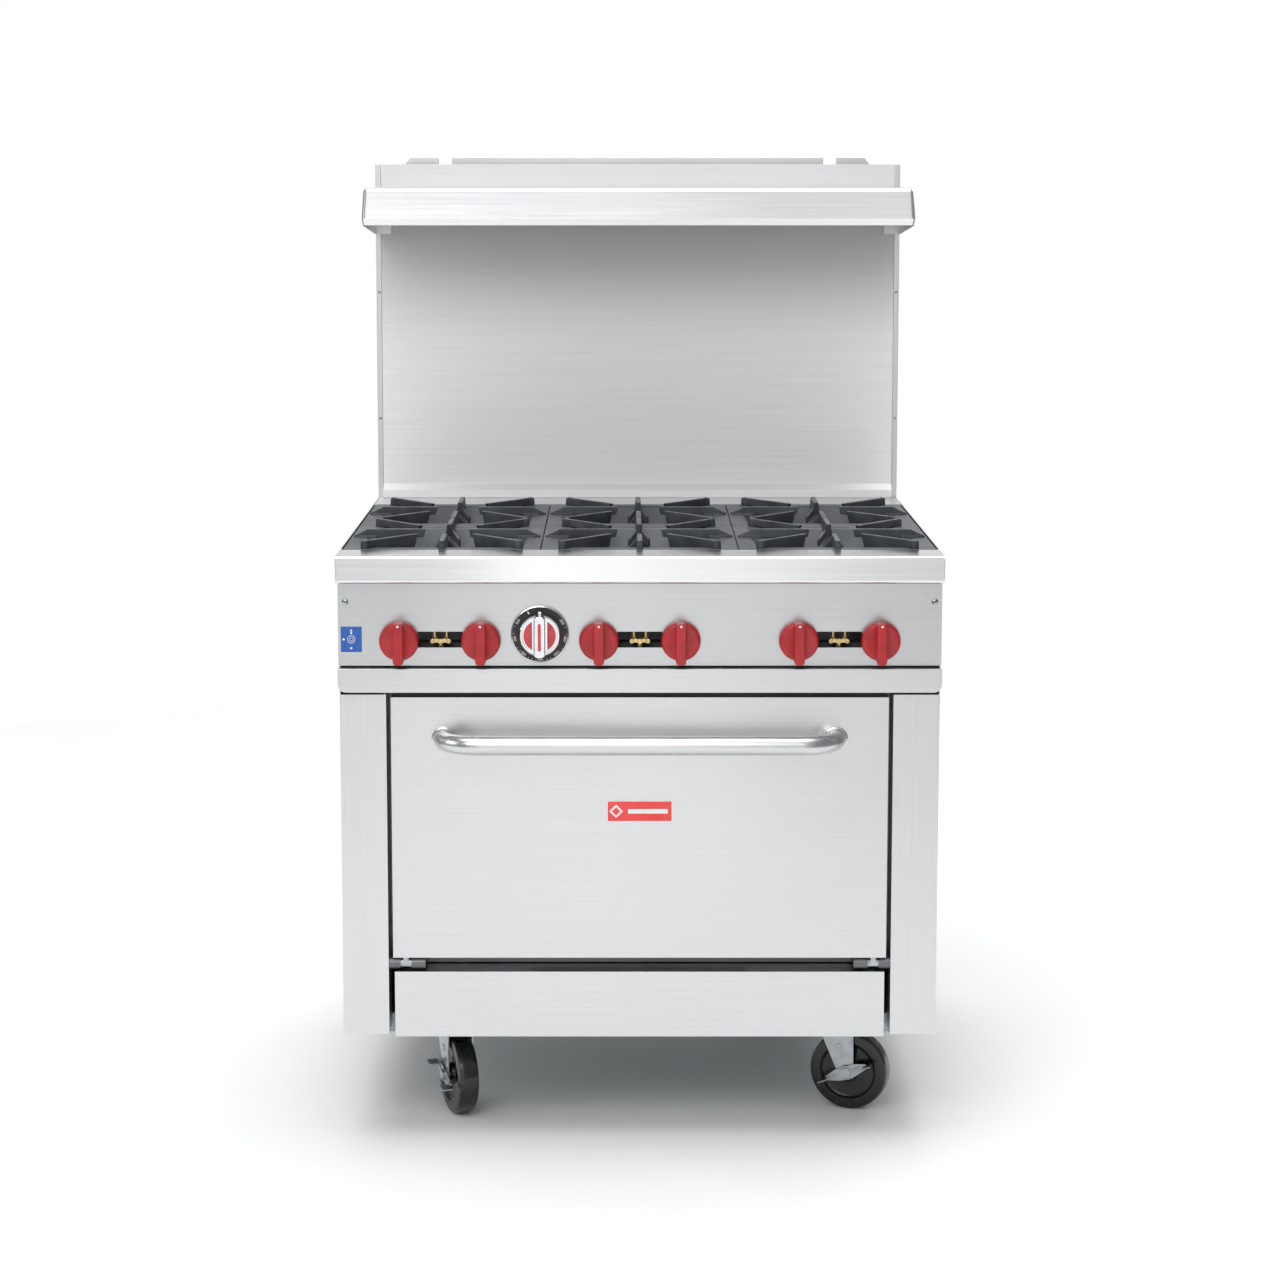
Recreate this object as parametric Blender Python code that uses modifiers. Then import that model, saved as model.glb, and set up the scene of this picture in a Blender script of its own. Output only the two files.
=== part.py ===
"""Commercial gas range: six open burners over one oven, with a back riser, a high shelf and casters.

Metres, Z up, the front faces -Y. The origin is on the floor, under the middle of the whole range.
"""
import math

import bmesh
import bpy
from mathutils import Matrix, Vector

# ---------------------------------------------------------------- driving dimensions
BODY_WIDTH = 0.914
BODY_DEPTH = 0.794          # from the door's face to the back of the riser
SHEET = 0.0015              # all folded steel sheet
FIT = 0.0003                # clearance between pieces that touch

KICK_STEP = 0.009
KICK_HEIGHT = 0.103
RECESS_HEIGHT = 0.0226      # open band between the kick panel and the door
DOOR_HEIGHT = 0.4071
STILE_ABOVE_DOOR = 0.0043
STRIP_ABOVE_DOOR = 0.0123
STRIP_HEIGHT = 0.036        # front of the crumb tray
PANEL_GAP = 0.003
PANEL_HEIGHT = 0.126
LEDGE_GAP = 0.005
LEDGE_HEIGHT = 0.041
RISER_HEIGHT = 0.583
TAB_HEIGHT = 0.012

STILE_WIDTH = 0.0705
DOOR_SIDE_GAP = 0.007
DOOR_DEPTH = 0.047          # outer pan of the door
STRIP_PROUD = 0.028         # how far each face stands out from the door's face
PANEL_PROUD = 0.0135
LEDGE_PROUD = 0.0485

HANDLE_STANDOFF = 0.0565
HANDLE_RADIUS = 0.0145
HANDLE_BEND = 0.055
HANDLE_HALF_SPAN = 0.314
HANDLE_BELOW_DOOR_TOP = 0.0637

OVEN_WIDTH = 0.673
OVEN_HEIGHT = 0.355
OVEN_DEPTH = 0.660
OVEN_FLOOR_ABOVE_DOOR_BOTTOM = 0.0324
RACK_THICKNESS = 0.006
RACK_LEVEL = 0.170          # above the oven floor

GRATE_SETBACK = 0.0315      # front edge of the grates, behind the door's face
GRATE_FIELD_DEPTH = 0.5915
GRATE_SIDE_MARGIN = 0.0035
GRATE_GAP = 0.001
GRATE_RIM = 0.010           # thickness of the flat rim
GRATE_FLANGE = 0.020        # width of the flat rim
GRATE_HOLE = 0.056          # half width of the hole round the burner
POST_INSET_X = 0.0332       # grate's edge to the axis of a corner post
POST_INSET_Y = 0.0105
FINGER_RISE = 0.0135
FINGER_WIDTH = 0.009
BOWL_DEPTH = 0.048
BURNER_HEAD_RADIUS = 0.046

KNOB_RADIUS = 0.030
KNOB_DEPTH = 0.034
GRIP_HALF = 0.0088          # half width of the grip bar
GRIP_OVERHANG = 0.0035      # how far the bar passes the skirt's lower edge
KNOB_SPREAD = 0.062         # knob axis to the middle of its burner column
KNOB_ABOVE_PANEL_BOTTOM = 0.039
SHANK_RADIUS = 0.007
DIAL_RADIUS = 0.044
DIAL_ABOVE_PANEL_BOTTOM = 0.049
DIAL_KNOB_RADIUS = 0.032
DIAL_SHANK_RADIUS = 0.010
SLOT_WIDTH = 0.068
SLOT_HEIGHT = 0.0244

RISER_DEPTH = 0.0655
RISER_STEP = 0.010
SHELF_TOP_BELOW_RISER_TOP = 0.039
SHELF_HEIGHT = 0.061
SHELF_REACH = 0.279         # from the riser's face to the foot of the shelf's lip

WHEEL_RADIUS = 0.0635
WHEEL_WIDTH = 0.032
CROWN_GAP = 0.014           # wheel to the crown of its fork
RACE_HEIGHT = 0.017         # crown of the fork to the underside of the base
CASTER_OFFSET = 0.040
STEM_X = 0.302
FRONT_STEM_SETBACK = 0.1815
REAR_STEM_INSET = 0.1625
STEM_RADIUS = 0.008
AXLE_RADIUS = 0.006
FORK_PLATE = 0.003
TYRE_SIDE_GAP = 0.0025

# ---------------------------------------------------------------- places that follow from them
HALF = BODY_WIDTH / 2
INNER = HALF - SHEET                                   # inner faces of the side sheets
CASTER_HEIGHT = 2 * WHEEL_RADIUS + CROWN_GAP + RACE_HEIGHT
BACK_Y = (BODY_DEPTH + HANDLE_STANDOFF + HANDLE_RADIUS) / 2
FRONT_Y = BACK_Y - BODY_DEPTH
KICK_Z = CASTER_HEIGHT + KICK_STEP
KICK_TOP = KICK_Z + KICK_HEIGHT
SIDE_Z = KICK_Z + 0.004
DOOR_Z = KICK_TOP + RECESS_HEIGHT
DOOR_TOP = DOOR_Z + DOOR_HEIGHT
STRIP_Z = DOOR_TOP + STRIP_ABOVE_DOOR
STRIP_TOP = STRIP_Z + STRIP_HEIGHT
PANEL_Z = STRIP_TOP + PANEL_GAP
PANEL_TOP = PANEL_Z + PANEL_HEIGHT
PANEL_Y = FRONT_Y - PANEL_PROUD
LEDGE_Z = PANEL_TOP + LEDGE_GAP
COOKTOP_Z = LEDGE_Z + LEDGE_HEIGHT
RISER_Z = COOKTOP_Z + FIT
RISER_TOP = COOKTOP_Z + RISER_HEIGHT
RISER_Y = BACK_Y - RISER_DEPTH

DOOR_HALF = HALF - STILE_WIDTH - DOOR_SIDE_GAP
DOOR_BACK_Y = FRONT_Y + DOOR_DEPTH
HINGE_Y = FRONT_Y + 0.010
HINGE_Z = DOOR_Z - 0.0106
HANDLE_Z = DOOR_TOP - HANDLE_BELOW_DOOR_TOP

FACE_FRAME_Y = DOOR_BACK_Y + 0.004                     # front of the oven's face frame
FACE_FRAME_SHEET = 0.003
OVEN_Z = DOOR_Z + OVEN_FLOOR_ABOVE_DOOR_BOTTOM
OVEN_Y = FACE_FRAME_Y + FACE_FRAME_SHEET + FIT
RACK_Z = OVEN_Z + RACK_LEVEL

STILE_RETURN_Y = FACE_FRAME_Y + 0.006                  # back edge of the stiles' folds
BASE_FRONT_Y = STILE_RETURN_Y + FIT
BASE_SHEET = 0.003
BASE_HEIGHT = 0.030

GRATE_Y = FRONT_Y + GRATE_SETBACK
GRATE_PITCH = (BODY_WIDTH - 2 * GRATE_SIDE_MARGIN) / 3
GRATE_WIDTH = GRATE_PITCH - GRATE_GAP
GRATE_ROW = (GRATE_FIELD_DEPTH + GRATE_GAP) / 2        # row pitch
GRATE_LENGTH = GRATE_ROW - GRATE_GAP
SEAT_Z = COOKTOP_Z - GRATE_RIM - FIT
COLUMNS = [-GRATE_PITCH, 0.0, GRATE_PITCH]
ROWS = [GRATE_Y + GRATE_LENGTH / 2, GRATE_Y + GRATE_ROW + GRATE_LENGTH / 2]
MIDDLE_Y = GRATE_Y + GRATE_ROW - GRATE_GAP / 2
DECK_Y = GRATE_Y + GRATE_FIELD_DEPTH + GRATE_GAP
BURNER_REST_Z = COOKTOP_Z - 0.078

KNOB_Z = PANEL_Z + KNOB_ABOVE_PANEL_BOTTOM
DIAL_Z = PANEL_Z + DIAL_ABOVE_PANEL_BOTTOM
DIAL_X = -GRATE_PITCH / 2
VALVE_Y = FRONT_Y + 0.007                              # front faces of the gas valves
PIPE_RADIUS = 0.0105
PIPE_Y = VALVE_Y + 0.0195
PIPE_Z = KNOB_Z - 0.016
INLET_X = HALF - 0.027

TRAY_HALF = INNER - 0.008
TRAY_Z = STRIP_Z + 0.002
TRAY_WALL = 0.028
TRAY_DEPTH = 0.580

AXLE_Z = WHEEL_RADIUS
FORK_HALF = WHEEL_WIDTH / 2 + TYRE_SIDE_GAP + FORK_PLATE
FRONT_STEM_Y = FRONT_Y + FRONT_STEM_SETBACK
REAR_STEM_Y = BACK_Y - REAR_STEM_INSET

# name, stem x, stem y, heading of the wheel in degrees
CASTERS = [
    ("1", -STEM_X, FRONT_STEM_Y, -70.0),
    ("2", STEM_X, FRONT_STEM_Y, -20.0),
    ("3", -STEM_X, REAR_STEM_Y, 60.0),
    ("4", STEM_X, REAR_STEM_Y, 130.0),
]

# ---------------------------------------------------------------- scene and materials
for old in list(bpy.data.objects):
    bpy.data.objects.remove(old, do_unlink=True)

parts = bpy.data.collections.new("gas_range")
bpy.context.scene.collection.children.link(parts)


def make_material(name, colour, roughness, metallic):
    """A plain Principled material."""
    material = bpy.data.materials.new(name)
    material.use_nodes = True
    shader = material.node_tree.nodes["Principled BSDF"]
    shader.inputs["Base Color"].default_value = (*colour, 1.0)
    shader.inputs["Roughness"].default_value = roughness
    shader.inputs["Metallic"].default_value = metallic
    material.diffuse_color = (*colour, 1.0)
    return material


FINISHES = {
    "stainless": ((0.66, 0.67, 0.68), 0.32, 1.0),
    "galvanised": ((0.42, 0.44, 0.45), 0.45, 1.0),
    "cast_iron": ((0.055, 0.060, 0.068), 0.62, 0.4),
    "enamel": ((0.10, 0.10, 0.11), 0.25, 0.0),
    "red_plastic": ((0.55, 0.035, 0.045), 0.30, 0.0),
    "chrome": ((0.72, 0.72, 0.73), 0.12, 1.0),
    "black_plastic": ((0.020, 0.020, 0.022), 0.35, 0.0),
    "brass": ((0.62, 0.46, 0.20), 0.30, 1.0),
    "zinc": ((0.46, 0.47, 0.49), 0.38, 1.0),
    "tyre": ((0.022, 0.022, 0.025), 0.40, 0.0),
}


def add_part(name, mesh, finish, location=(0.0, 0.0, 0.0), rotation=(0.0, 0.0, 0.0), parent=None):
    """A named sub-part with its own material."""
    part = bpy.data.objects.new(name, mesh)
    part.location = location
    part.rotation_euler = rotation
    part.parent = parent
    parts.objects.link(part)
    mesh.materials.clear()
    mesh.materials.append(make_material(name + "_" + finish, *FINISHES[finish]))
    mesh.set_sharp_from_angle(angle=math.radians(32.0))
    return part


def add_axis(name, location):
    """An empty on a joint's axis."""
    empty = bpy.data.objects.new(name, None)
    empty.location = location
    parts.objects.link(empty)
    return empty


# ---------------------------------------------------------------- shape helpers
def finished(mesh):
    """Weld the mesh and turn its faces outwards."""
    work = bmesh.new()
    work.from_mesh(mesh)
    bmesh.ops.remove_doubles(work, verts=work.verts, dist=0.000002)
    bmesh.ops.recalc_face_normals(work, faces=work.faces)
    work.to_mesh(mesh)
    work.free()
    mesh.shade_smooth()
    return mesh


def evaluated(holder):
    """The mesh of an object with its modifiers, after which the object is removed."""
    bpy.context.view_layer.update()
    depsgraph = bpy.context.evaluated_depsgraph_get()
    mesh = bpy.data.meshes.new_from_object(holder.evaluated_get(depsgraph))
    bpy.data.objects.remove(holder, do_unlink=True)
    return mesh


def held(name, data):
    """A working object in the scene."""
    holder = bpy.data.objects.new(name, data)
    bpy.context.scene.collection.objects.link(holder)
    return holder


def combine(base, joins=(), cuts=()):
    """The base with some closed meshes joined to it and others cut from it."""
    holder = held("combined", base)
    helpers = []
    for operation, meshes in (("UNION", joins), ("DIFFERENCE", cuts)):
        for mesh in meshes:
            helper = held("helper", mesh)
            helper.hide_render = True
            helper.display_type = "WIRE"
            modifier = holder.modifiers.new(operation, "BOOLEAN")
            modifier.operation = operation
            modifier.solver = "EXACT"
            modifier.object = helper
            helpers.append(helper)
    mesh = evaluated(holder)
    for helper in helpers:
        bpy.data.objects.remove(helper, do_unlink=True)
    return finished(mesh)


def box(low, high):
    """A closed box between two corners."""
    work = bmesh.new()
    bmesh.ops.create_cube(work, size=1.0)
    low = Vector(low)
    high = Vector(high)
    bmesh.ops.scale(work, vec=high - low, verts=work.verts)
    bmesh.ops.translate(work, vec=(low + high) / 2, verts=work.verts)
    mesh = bpy.data.meshes.new("box")
    work.to_mesh(mesh)
    work.free()
    return mesh


def wide_box(half, low, high):
    """A box centred on the range, from (y, z) to (y, z)."""
    return box((-half, *low), (half, *high))


def rod(start, end, radius, sides=16):
    """A closed cylinder from one point to another."""
    start = Vector(start)
    along = Vector(end) - start
    work = bmesh.new()
    bmesh.ops.create_cone(
        work, cap_ends=True, segments=sides, radius1=radius, radius2=radius, depth=along.length
    )
    turn = along.to_track_quat("Z", "Y").to_matrix().to_4x4()
    bmesh.ops.transform(work, matrix=Matrix.Translation(start + along / 2) @ turn, verts=work.verts)
    mesh = bpy.data.meshes.new("rod")
    work.to_mesh(mesh)
    work.free()
    return mesh


TURNS = {
    "X": Matrix(((0, 0, 1, 0), (1, 0, 0, 0), (0, 1, 0, 0), (0, 0, 0, 1))),   # outline in (y, z)
    "Y": Matrix(((1, 0, 0, 0), (0, 0, -1, 0), (0, 1, 0, 0), (0, 0, 0, 1))),  # outline in (x, z)
    "Z": Matrix.Identity(4),                                                 # outline in (x, y)
}


def prism(outlines, axis, start, end):
    """Closed outlines, the first with the others as holes, drawn out along an axis."""
    curve = bpy.data.curves.new("outline", "CURVE")
    curve.dimensions = "2D"
    curve.fill_mode = "BOTH"
    curve.extrude = abs(end - start) / 2
    for outline in outlines:
        spline = curve.splines.new("POLY")
        spline.points.add(len(outline) - 1)
        spline.use_cyclic_u = True
        for point, place in zip(spline.points, outline):
            point.co = (place[0], place[1], 0.0, 1.0)
    mesh = evaluated(held("outline", curve))
    mesh.transform(TURNS[axis])
    middle = (start + end) / 2
    mesh.transform(Matrix.Translation(Vector([middle if axis == each else 0.0 for each in "XYZ"])))
    return finished(mesh)


def bent_sheet(path, thickness):
    """The closed outline of a folded sheet: one face on the path, its thickness to the path's left."""
    path = [Vector(point) for point in path]
    other_face = []
    for index, point in enumerate(path):
        before = (point - path[index - 1]) if index else (path[1] - point)
        after = (path[index + 1] - point) if index + 1 < len(path) else before
        left_before = Vector((-before.y, before.x)).normalized()
        left_after = Vector((-after.y, after.x)).normalized()
        middle = (left_before + left_after).normalized()
        other_face.append(point + middle * thickness / middle.dot(left_after))
    return path + other_face[::-1]


def rounded(outline, radii, steps=5):
    """The closed outline with some corners turned into arcs: radii maps a corner's index to its radius."""
    points = []
    for index, place in enumerate(outline):
        corner = Vector(place)
        if index not in radii:
            points.append(corner)
            continue
        before = (Vector(outline[index - 1]) - corner).normalized()
        after = (Vector(outline[(index + 1) % len(outline)]) - corner).normalized()
        half_angle = before.angle(after) / 2
        radius = radii[index]
        centre = corner + (before + after).normalized() * radius / math.sin(half_angle)
        start = (corner + before * radius / math.tan(half_angle) - centre).normalized()
        finish = (corner + after * radius / math.tan(half_angle) - centre).normalized()
        points += [centre + start.slerp(finish, step / steps) * radius for step in range(steps + 1)]
    return points


def rectangle(left, bottom, right, top):
    """Four corners, counter-clockwise."""
    return [(left, bottom), (right, bottom), (right, top), (left, top)]


def turned(profile, steps, closed=False):
    """A profile of (radius, height) turned about Z."""
    mesh = bpy.data.meshes.new("profile")
    count = len(profile)
    edges = [(index, index + 1) for index in range(count - 1)]
    if closed:
        edges.append((count - 1, 0))
    mesh.from_pydata([(radius, 0.0, height) for radius, height in profile], edges, [])
    holder = held("turned", mesh)
    screw = holder.modifiers.new("Screw", "SCREW")
    screw.axis = "Z"
    screw.angle = math.tau
    screw.steps = steps
    screw.render_steps = steps
    screw.use_merge_vertices = True
    screw.merge_threshold = 0.00001
    return finished(evaluated(holder))


def pipe(points, radius, resolution=3):
    """A round tube along a line of points."""
    curve = bpy.data.curves.new("pipe", "CURVE")
    curve.dimensions = "3D"
    curve.bevel_depth = radius
    curve.bevel_resolution = resolution
    curve.use_fill_caps = True
    spline = curve.splines.new("POLY")
    spline.points.add(len(points) - 1)
    for point, place in zip(spline.points, points):
        point.co = (*place, 1.0)
    return finished(evaluated(held("pipe", curve)))


def arc(centre, radius, start, end, steps):
    """Points of an arc in a plane, angles in degrees."""
    angles = [math.radians(start + (end - start) * step / steps) for step in range(steps + 1)]
    return [(centre[0] + radius * math.cos(a), centre[1] + radius * math.sin(a)) for a in angles]


def mirrored(mesh):
    """A copy on the other side of the range."""
    copy = mesh.copy()
    copy.transform(Matrix.Diagonal((-1.0, 1.0, 1.0, 1.0)))
    copy.flip_normals()
    return copy


def moved(mesh, offset):
    """The mesh, shifted."""
    mesh.transform(Matrix.Translation(offset))
    return mesh


# ---------------------------------------------------------------- base, sides and back
def build_base():
    """Bottom pan with upturned edges and a hole for each caster's stem."""
    low = Vector((-INNER + FIT, BASE_FRONT_Y, CASTER_HEIGHT))
    high = Vector((INNER - FIT, BACK_Y - SHEET - FIT, CASTER_HEIGHT + BASE_HEIGHT))
    wall = Vector((BASE_SHEET, BASE_SHEET, BASE_SHEET))
    hollow = box(low + wall, high + Vector((-BASE_SHEET, -BASE_SHEET, BASE_SHEET)))
    holes = [
        rod((x, y, CASTER_HEIGHT - 0.01), (x, y, CASTER_HEIGHT + 0.01), STEM_RADIUS + FIT)
        for _, x, y, _ in CASTERS
    ]
    add_part("base_frame", combine(box(low, high), cuts=[hollow] + holes), "galvanised")


def build_sides():
    """Side sheets folded into the front stiles, each with a runner for the crumb tray."""
    stile_inner = HALF - STILE_WIDTH
    path = [
        (stile_inner, STILE_RETURN_Y),
        (stile_inner, FRONT_Y),
        (HALF, FRONT_Y),
        (HALF, BACK_Y),
    ]
    sheet = prism([bent_sheet(path, SHEET)], "Z", SIDE_Z, COOKTOP_Z)
    above_stile = box(
        (0.0, FRONT_Y - 0.01, DOOR_TOP + STILE_ABOVE_DOOR), (INNER, FACE_FRAME_Y + 0.02, COOKTOP_Z + 0.01)
    )
    ledge_notch = box(
        (INNER - 0.01, FRONT_Y - 0.01, LEDGE_Z - FIT),
        (HALF + 0.01, GRATE_Y + 0.015 + FIT, COOKTOP_Z + 0.01),
    )
    runner = box(
        (TRAY_HALF - 0.006, FRONT_Y + 0.02, TRAY_Z - 0.0023),
        (INNER + SHEET / 2, FRONT_Y + TRAY_DEPTH, TRAY_Z - FIT),
    )
    side = combine(sheet, joins=[runner], cuts=[above_stile, ledge_notch])
    add_part("side_panel_left", mirrored(side), "stainless")
    add_part("side_panel_right", side, "stainless")


def build_back():
    """Rear sheet with a hole for the gas inlet."""
    sheet = wide_box(INNER - FIT, (BACK_Y - SHEET, SIDE_Z), (BACK_Y, COOKTOP_Z - SHEET - FIT))
    hole = rod((INLET_X, BACK_Y - 0.01, PIPE_Z), (INLET_X, BACK_Y + 0.01, PIPE_Z), PIPE_RADIUS + 0.004)
    add_part("rear_panel", combine(sheet, cuts=[hole]), "galvanised")


def build_kick_panel():
    """Pan that closes the front under the door."""
    half = DOOR_HALF - 0.002
    front = FRONT_Y + 0.001
    back = BASE_FRONT_Y - FIT
    shell = wide_box(half, (front, KICK_Z), (back, KICK_TOP))
    hollow = wide_box(half - SHEET, (front + SHEET, KICK_Z + SHEET), (back + 0.01, KICK_TOP - SHEET))
    add_part("kick_panel", combine(shell, cuts=[hollow]), "stainless")


# ---------------------------------------------------------------- oven
def build_oven():
    """Liner open at the front with rack guides, its rack and the burner under its floor."""
    half = OVEN_WIDTH / 2
    top = OVEN_Z + OVEN_HEIGHT
    back = OVEN_Y + OVEN_DEPTH
    shell = wide_box(half + SHEET, (OVEN_Y, OVEN_Z - SHEET), (back + SHEET, top + SHEET))
    hollow = wide_box(half, (OVEN_Y - 0.01, OVEN_Z), (back, top))
    liner = combine(shell, cuts=[hollow])
    guides = []
    guide_width = 0.012
    for level in (RACK_Z - 0.085, RACK_Z, RACK_Z + 0.085):
        low = (half - guide_width, OVEN_Y + 0.02, level - FIT - 0.004)
        high = (half + SHEET / 2, back - 0.02, level - FIT)
        guides += [box(low, high), mirrored(box(low, high))]
    add_part("oven_liner", combine(liner, joins=guides), "enamel")

    bar_pitch = 0.042
    frame_width = 0.008
    rack_half = half - 0.005
    rack_front = OVEN_Y + 0.030
    rack_back = back - 0.030
    bars = int((2 * rack_half - frame_width) / bar_pitch)
    pitch = (2 * rack_half - frame_width) / bars
    outlines = [rectangle(-rack_half, rack_front, rack_half, rack_back)]
    for index in range(bars):
        left = -rack_half + frame_width + index * pitch
        outlines.append(
            rectangle(left, rack_front + frame_width, left + pitch - frame_width, rack_back - frame_width)
        )
    add_part("oven_rack", prism(outlines, "Z", RACK_Z, RACK_Z + RACK_THICKNESS), "chrome")

    burner_z = (CASTER_HEIGHT + OVEN_Z) / 2
    tube = rod((0.0, BASE_FRONT_Y + 0.07, burner_z), (0.0, BACK_Y - 0.18, burner_z), 0.016)
    feet = []
    for y in (BASE_FRONT_Y + 0.12, BACK_Y - 0.23):
        feet.append(box((-0.012, y, CASTER_HEIGHT + BASE_SHEET + FIT), (0.012, y + 0.02, burner_z)))
    add_part("oven_burner", combine(tube, joins=feet), "galvanised")


def build_oven_front():
    """Face frame around the oven's mouth, with an air slot and the ears and pins of the door's hinges."""
    half = HALF - STILE_WIDTH - FIT
    mouth = rectangle(-OVEN_WIDTH / 2, OVEN_Z, OVEN_WIDTH / 2, OVEN_Z + OVEN_HEIGHT)
    slot = rectangle(-0.165, HINGE_Z - 0.003, 0.165, HINGE_Z + 0.003)
    outer = rectangle(-half, KICK_TOP + 0.0016, half, DOOR_TOP + 0.0063)
    frame = prism([outer, mouth, slot], "Y", FACE_FRAME_Y, FACE_FRAME_Y + FACE_FRAME_SHEET)
    joins = []
    for inner, outer_end in ((DOOR_HALF - 0.0495, DOOR_HALF - 0.0280), (DOOR_HALF - 0.0105, half)):
        block = box((inner, HINGE_Y, HINGE_Z - 0.009), (outer_end, FACE_FRAME_Y + 0.001, HINGE_Z + 0.009))
        nose = rod((inner, HINGE_Y, HINGE_Z), (outer_end, HINGE_Y, HINGE_Z), 0.009, 20)
        ear = combine(block, joins=[nose])
        joins += [ear, mirrored(ear)]
    pin = rod((DOOR_HALF - 0.030, HINGE_Y, HINGE_Z), (DOOR_HALF - 0.008, HINGE_Y, HINGE_Z), 0.004, 12)
    joins += [pin, mirrored(pin)]
    add_part("oven_front_frame", combine(frame, joins=joins), "galvanised")


# ---------------------------------------------------------------- door
def build_door():
    """Outer pan, inner panel with its plug, towel-bar handle and two hinge arms."""
    axis = add_axis("door_axis", (0.0, HINGE_Y, HINGE_Z))
    home = Vector((0.0, -HINGE_Y, -HINGE_Z))
    arm_left = DOOR_HALF - 0.0235
    arm_right = arm_left + 0.008
    arm_back = FRONT_Y + 0.016

    pan = wide_box(DOOR_HALF, (FRONT_Y, DOOR_Z), (DOOR_BACK_Y, DOOR_TOP))
    hollow = wide_box(
        DOOR_HALF - SHEET, (FRONT_Y + SHEET, DOOR_Z + SHEET), (DOOR_BACK_Y + 0.01, DOOR_TOP - SHEET)
    )
    arm_slot = box(
        (arm_left - 0.001, FRONT_Y + SHEET, DOOR_Z - 0.01),
        (arm_right + 0.001, arm_back + 0.001, DOOR_Z + 0.005),
    )
    outer = combine(pan, cuts=[hollow, arm_slot, mirrored(arm_slot)])
    add_part("door_outer_panel", moved(outer, home), "stainless", parent=axis)

    back = DOOR_BACK_Y + FIT
    plate = wide_box(DOOR_HALF, (back, DOOR_Z), (back + SHEET, DOOR_TOP))
    plug_half = OVEN_WIDTH / 2 - 0.010
    plug_low = OVEN_Z + 0.010
    plug_high = OVEN_Z + OVEN_HEIGHT - 0.010
    plug_back = FACE_FRAME_Y + 0.006
    plug = wide_box(plug_half, (back + SHEET / 2, plug_low), (plug_back, plug_high))
    plug_hollow = wide_box(
        plug_half - SHEET, (back - 0.01, plug_low + SHEET), (plug_back - SHEET, plug_high - SHEET)
    )
    inner = combine(plate, joins=[plug], cuts=[plug_hollow])
    add_part("door_inner_panel", moved(inner, home), "galvanised", parent=axis)

    end_x = HANDLE_HALF_SPAN - HANDLE_RADIUS
    bend_x = end_x - HANDLE_BEND
    bar_y = FRONT_Y - HANDLE_STANDOFF
    bend = arc((bend_x, bar_y + HANDLE_BEND), HANDLE_BEND, 0.0, -90.0, 8)
    half_path = [(end_x, FRONT_Y - FIT)] + bend
    path = [(x, y, HANDLE_Z) for x, y in half_path] + [(-x, y, HANDLE_Z) for x, y in half_path[::-1]]
    handle = pipe(path, HANDLE_RADIUS, 4)
    add_part("door_handle", moved(handle, home), "stainless", parent=axis)

    leg = box((arm_left, FRONT_Y + SHEET + FIT, HINGE_Z), (arm_right, arm_back, HINGE_Z + 0.060))
    knuckle = rod((DOOR_HALF - 0.0277, HINGE_Y, HINGE_Z), (DOOR_HALF - 0.0108, HINGE_Y, HINGE_Z), 0.0065)
    bore = rod((DOOR_HALF - 0.040, HINGE_Y, HINGE_Z), (DOOR_HALF, HINGE_Y, HINGE_Z), 0.0044)
    arm = combine(leg, joins=[knuckle], cuts=[bore])
    left_arm = mirrored(arm)
    add_part("door_hinge_left", moved(left_arm, home), "zinc", parent=axis)
    add_part("door_hinge_right", moved(arm, home), "zinc", parent=axis)


# ---------------------------------------------------------------- front of the cooktop
def build_ledge():
    """Bull-nosed front ledge, hollow, with a seat for the grates behind it."""
    front = FRONT_Y - LEDGE_PROUD
    back = GRATE_Y + 0.015
    step = GRATE_Y - 0.0005
    outer = [
        (back, LEDGE_Z), (back, SEAT_Z), (step, SEAT_Z),
        (step, COOKTOP_Z), (front, COOKTOP_Z), (front, LEDGE_Z),
    ]
    inner = [
        (back - SHEET, LEDGE_Z + SHEET),
        (back - SHEET, SEAT_Z - SHEET),
        (step - SHEET, SEAT_Z - SHEET),
        (step - SHEET, COOKTOP_Z - SHEET),
        (front + SHEET, COOKTOP_Z - SHEET),
        (front + SHEET, LEDGE_Z + SHEET),
    ]
    nose = 0.008
    shell = prism([rounded(outer, {4: 0.004, 5: nose})], "X", -HALF, HALF)
    hollow = prism([rounded(inner, {4: 0.0025, 5: nose - SHEET})], "X", -INNER, INNER)
    opening_back = back - SHEET - 0.004
    opening = wide_box(INNER - 0.002, (FRONT_Y - 0.004, LEDGE_Z - 0.01), (opening_back, LEDGE_Z + 0.01))
    add_part("front_ledge", combine(shell, cuts=[hollow, opening]), "stainless")


def build_control_panel():
    """Front pan with holes for the knobs' shanks and a slot over each pilot valve."""
    back = FRONT_Y - 0.0005
    shell = wide_box(HALF, (PANEL_Y, PANEL_Z), (back, PANEL_TOP))
    hollow = wide_box(HALF - SHEET, (PANEL_Y + SHEET, PANEL_Z + SHEET), (back + 0.01, PANEL_TOP - SHEET))
    cuts = [hollow]
    for column in COLUMNS:
        for side in (-1, 1):
            x = column + side * KNOB_SPREAD
            cuts.append(rod((x, PANEL_Y - 0.01, KNOB_Z), (x, PANEL_Y + 0.01, KNOB_Z), SHANK_RADIUS + 0.0015))
        low = (column - SLOT_WIDTH / 2, PANEL_Y - 0.01, KNOB_Z + 0.001 - SLOT_HEIGHT / 2)
        high = (column + SLOT_WIDTH / 2, PANEL_Y + 0.01, KNOB_Z + 0.001 + SLOT_HEIGHT / 2)
        cuts.append(box(low, high))
    dial_hole = DIAL_SHANK_RADIUS + 0.0015
    cuts.append(rod((DIAL_X, PANEL_Y - 0.01, DIAL_Z), (DIAL_X, PANEL_Y + 0.01, DIAL_Z), dial_hole))
    add_part("control_panel", combine(shell, cuts=cuts), "stainless")


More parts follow.
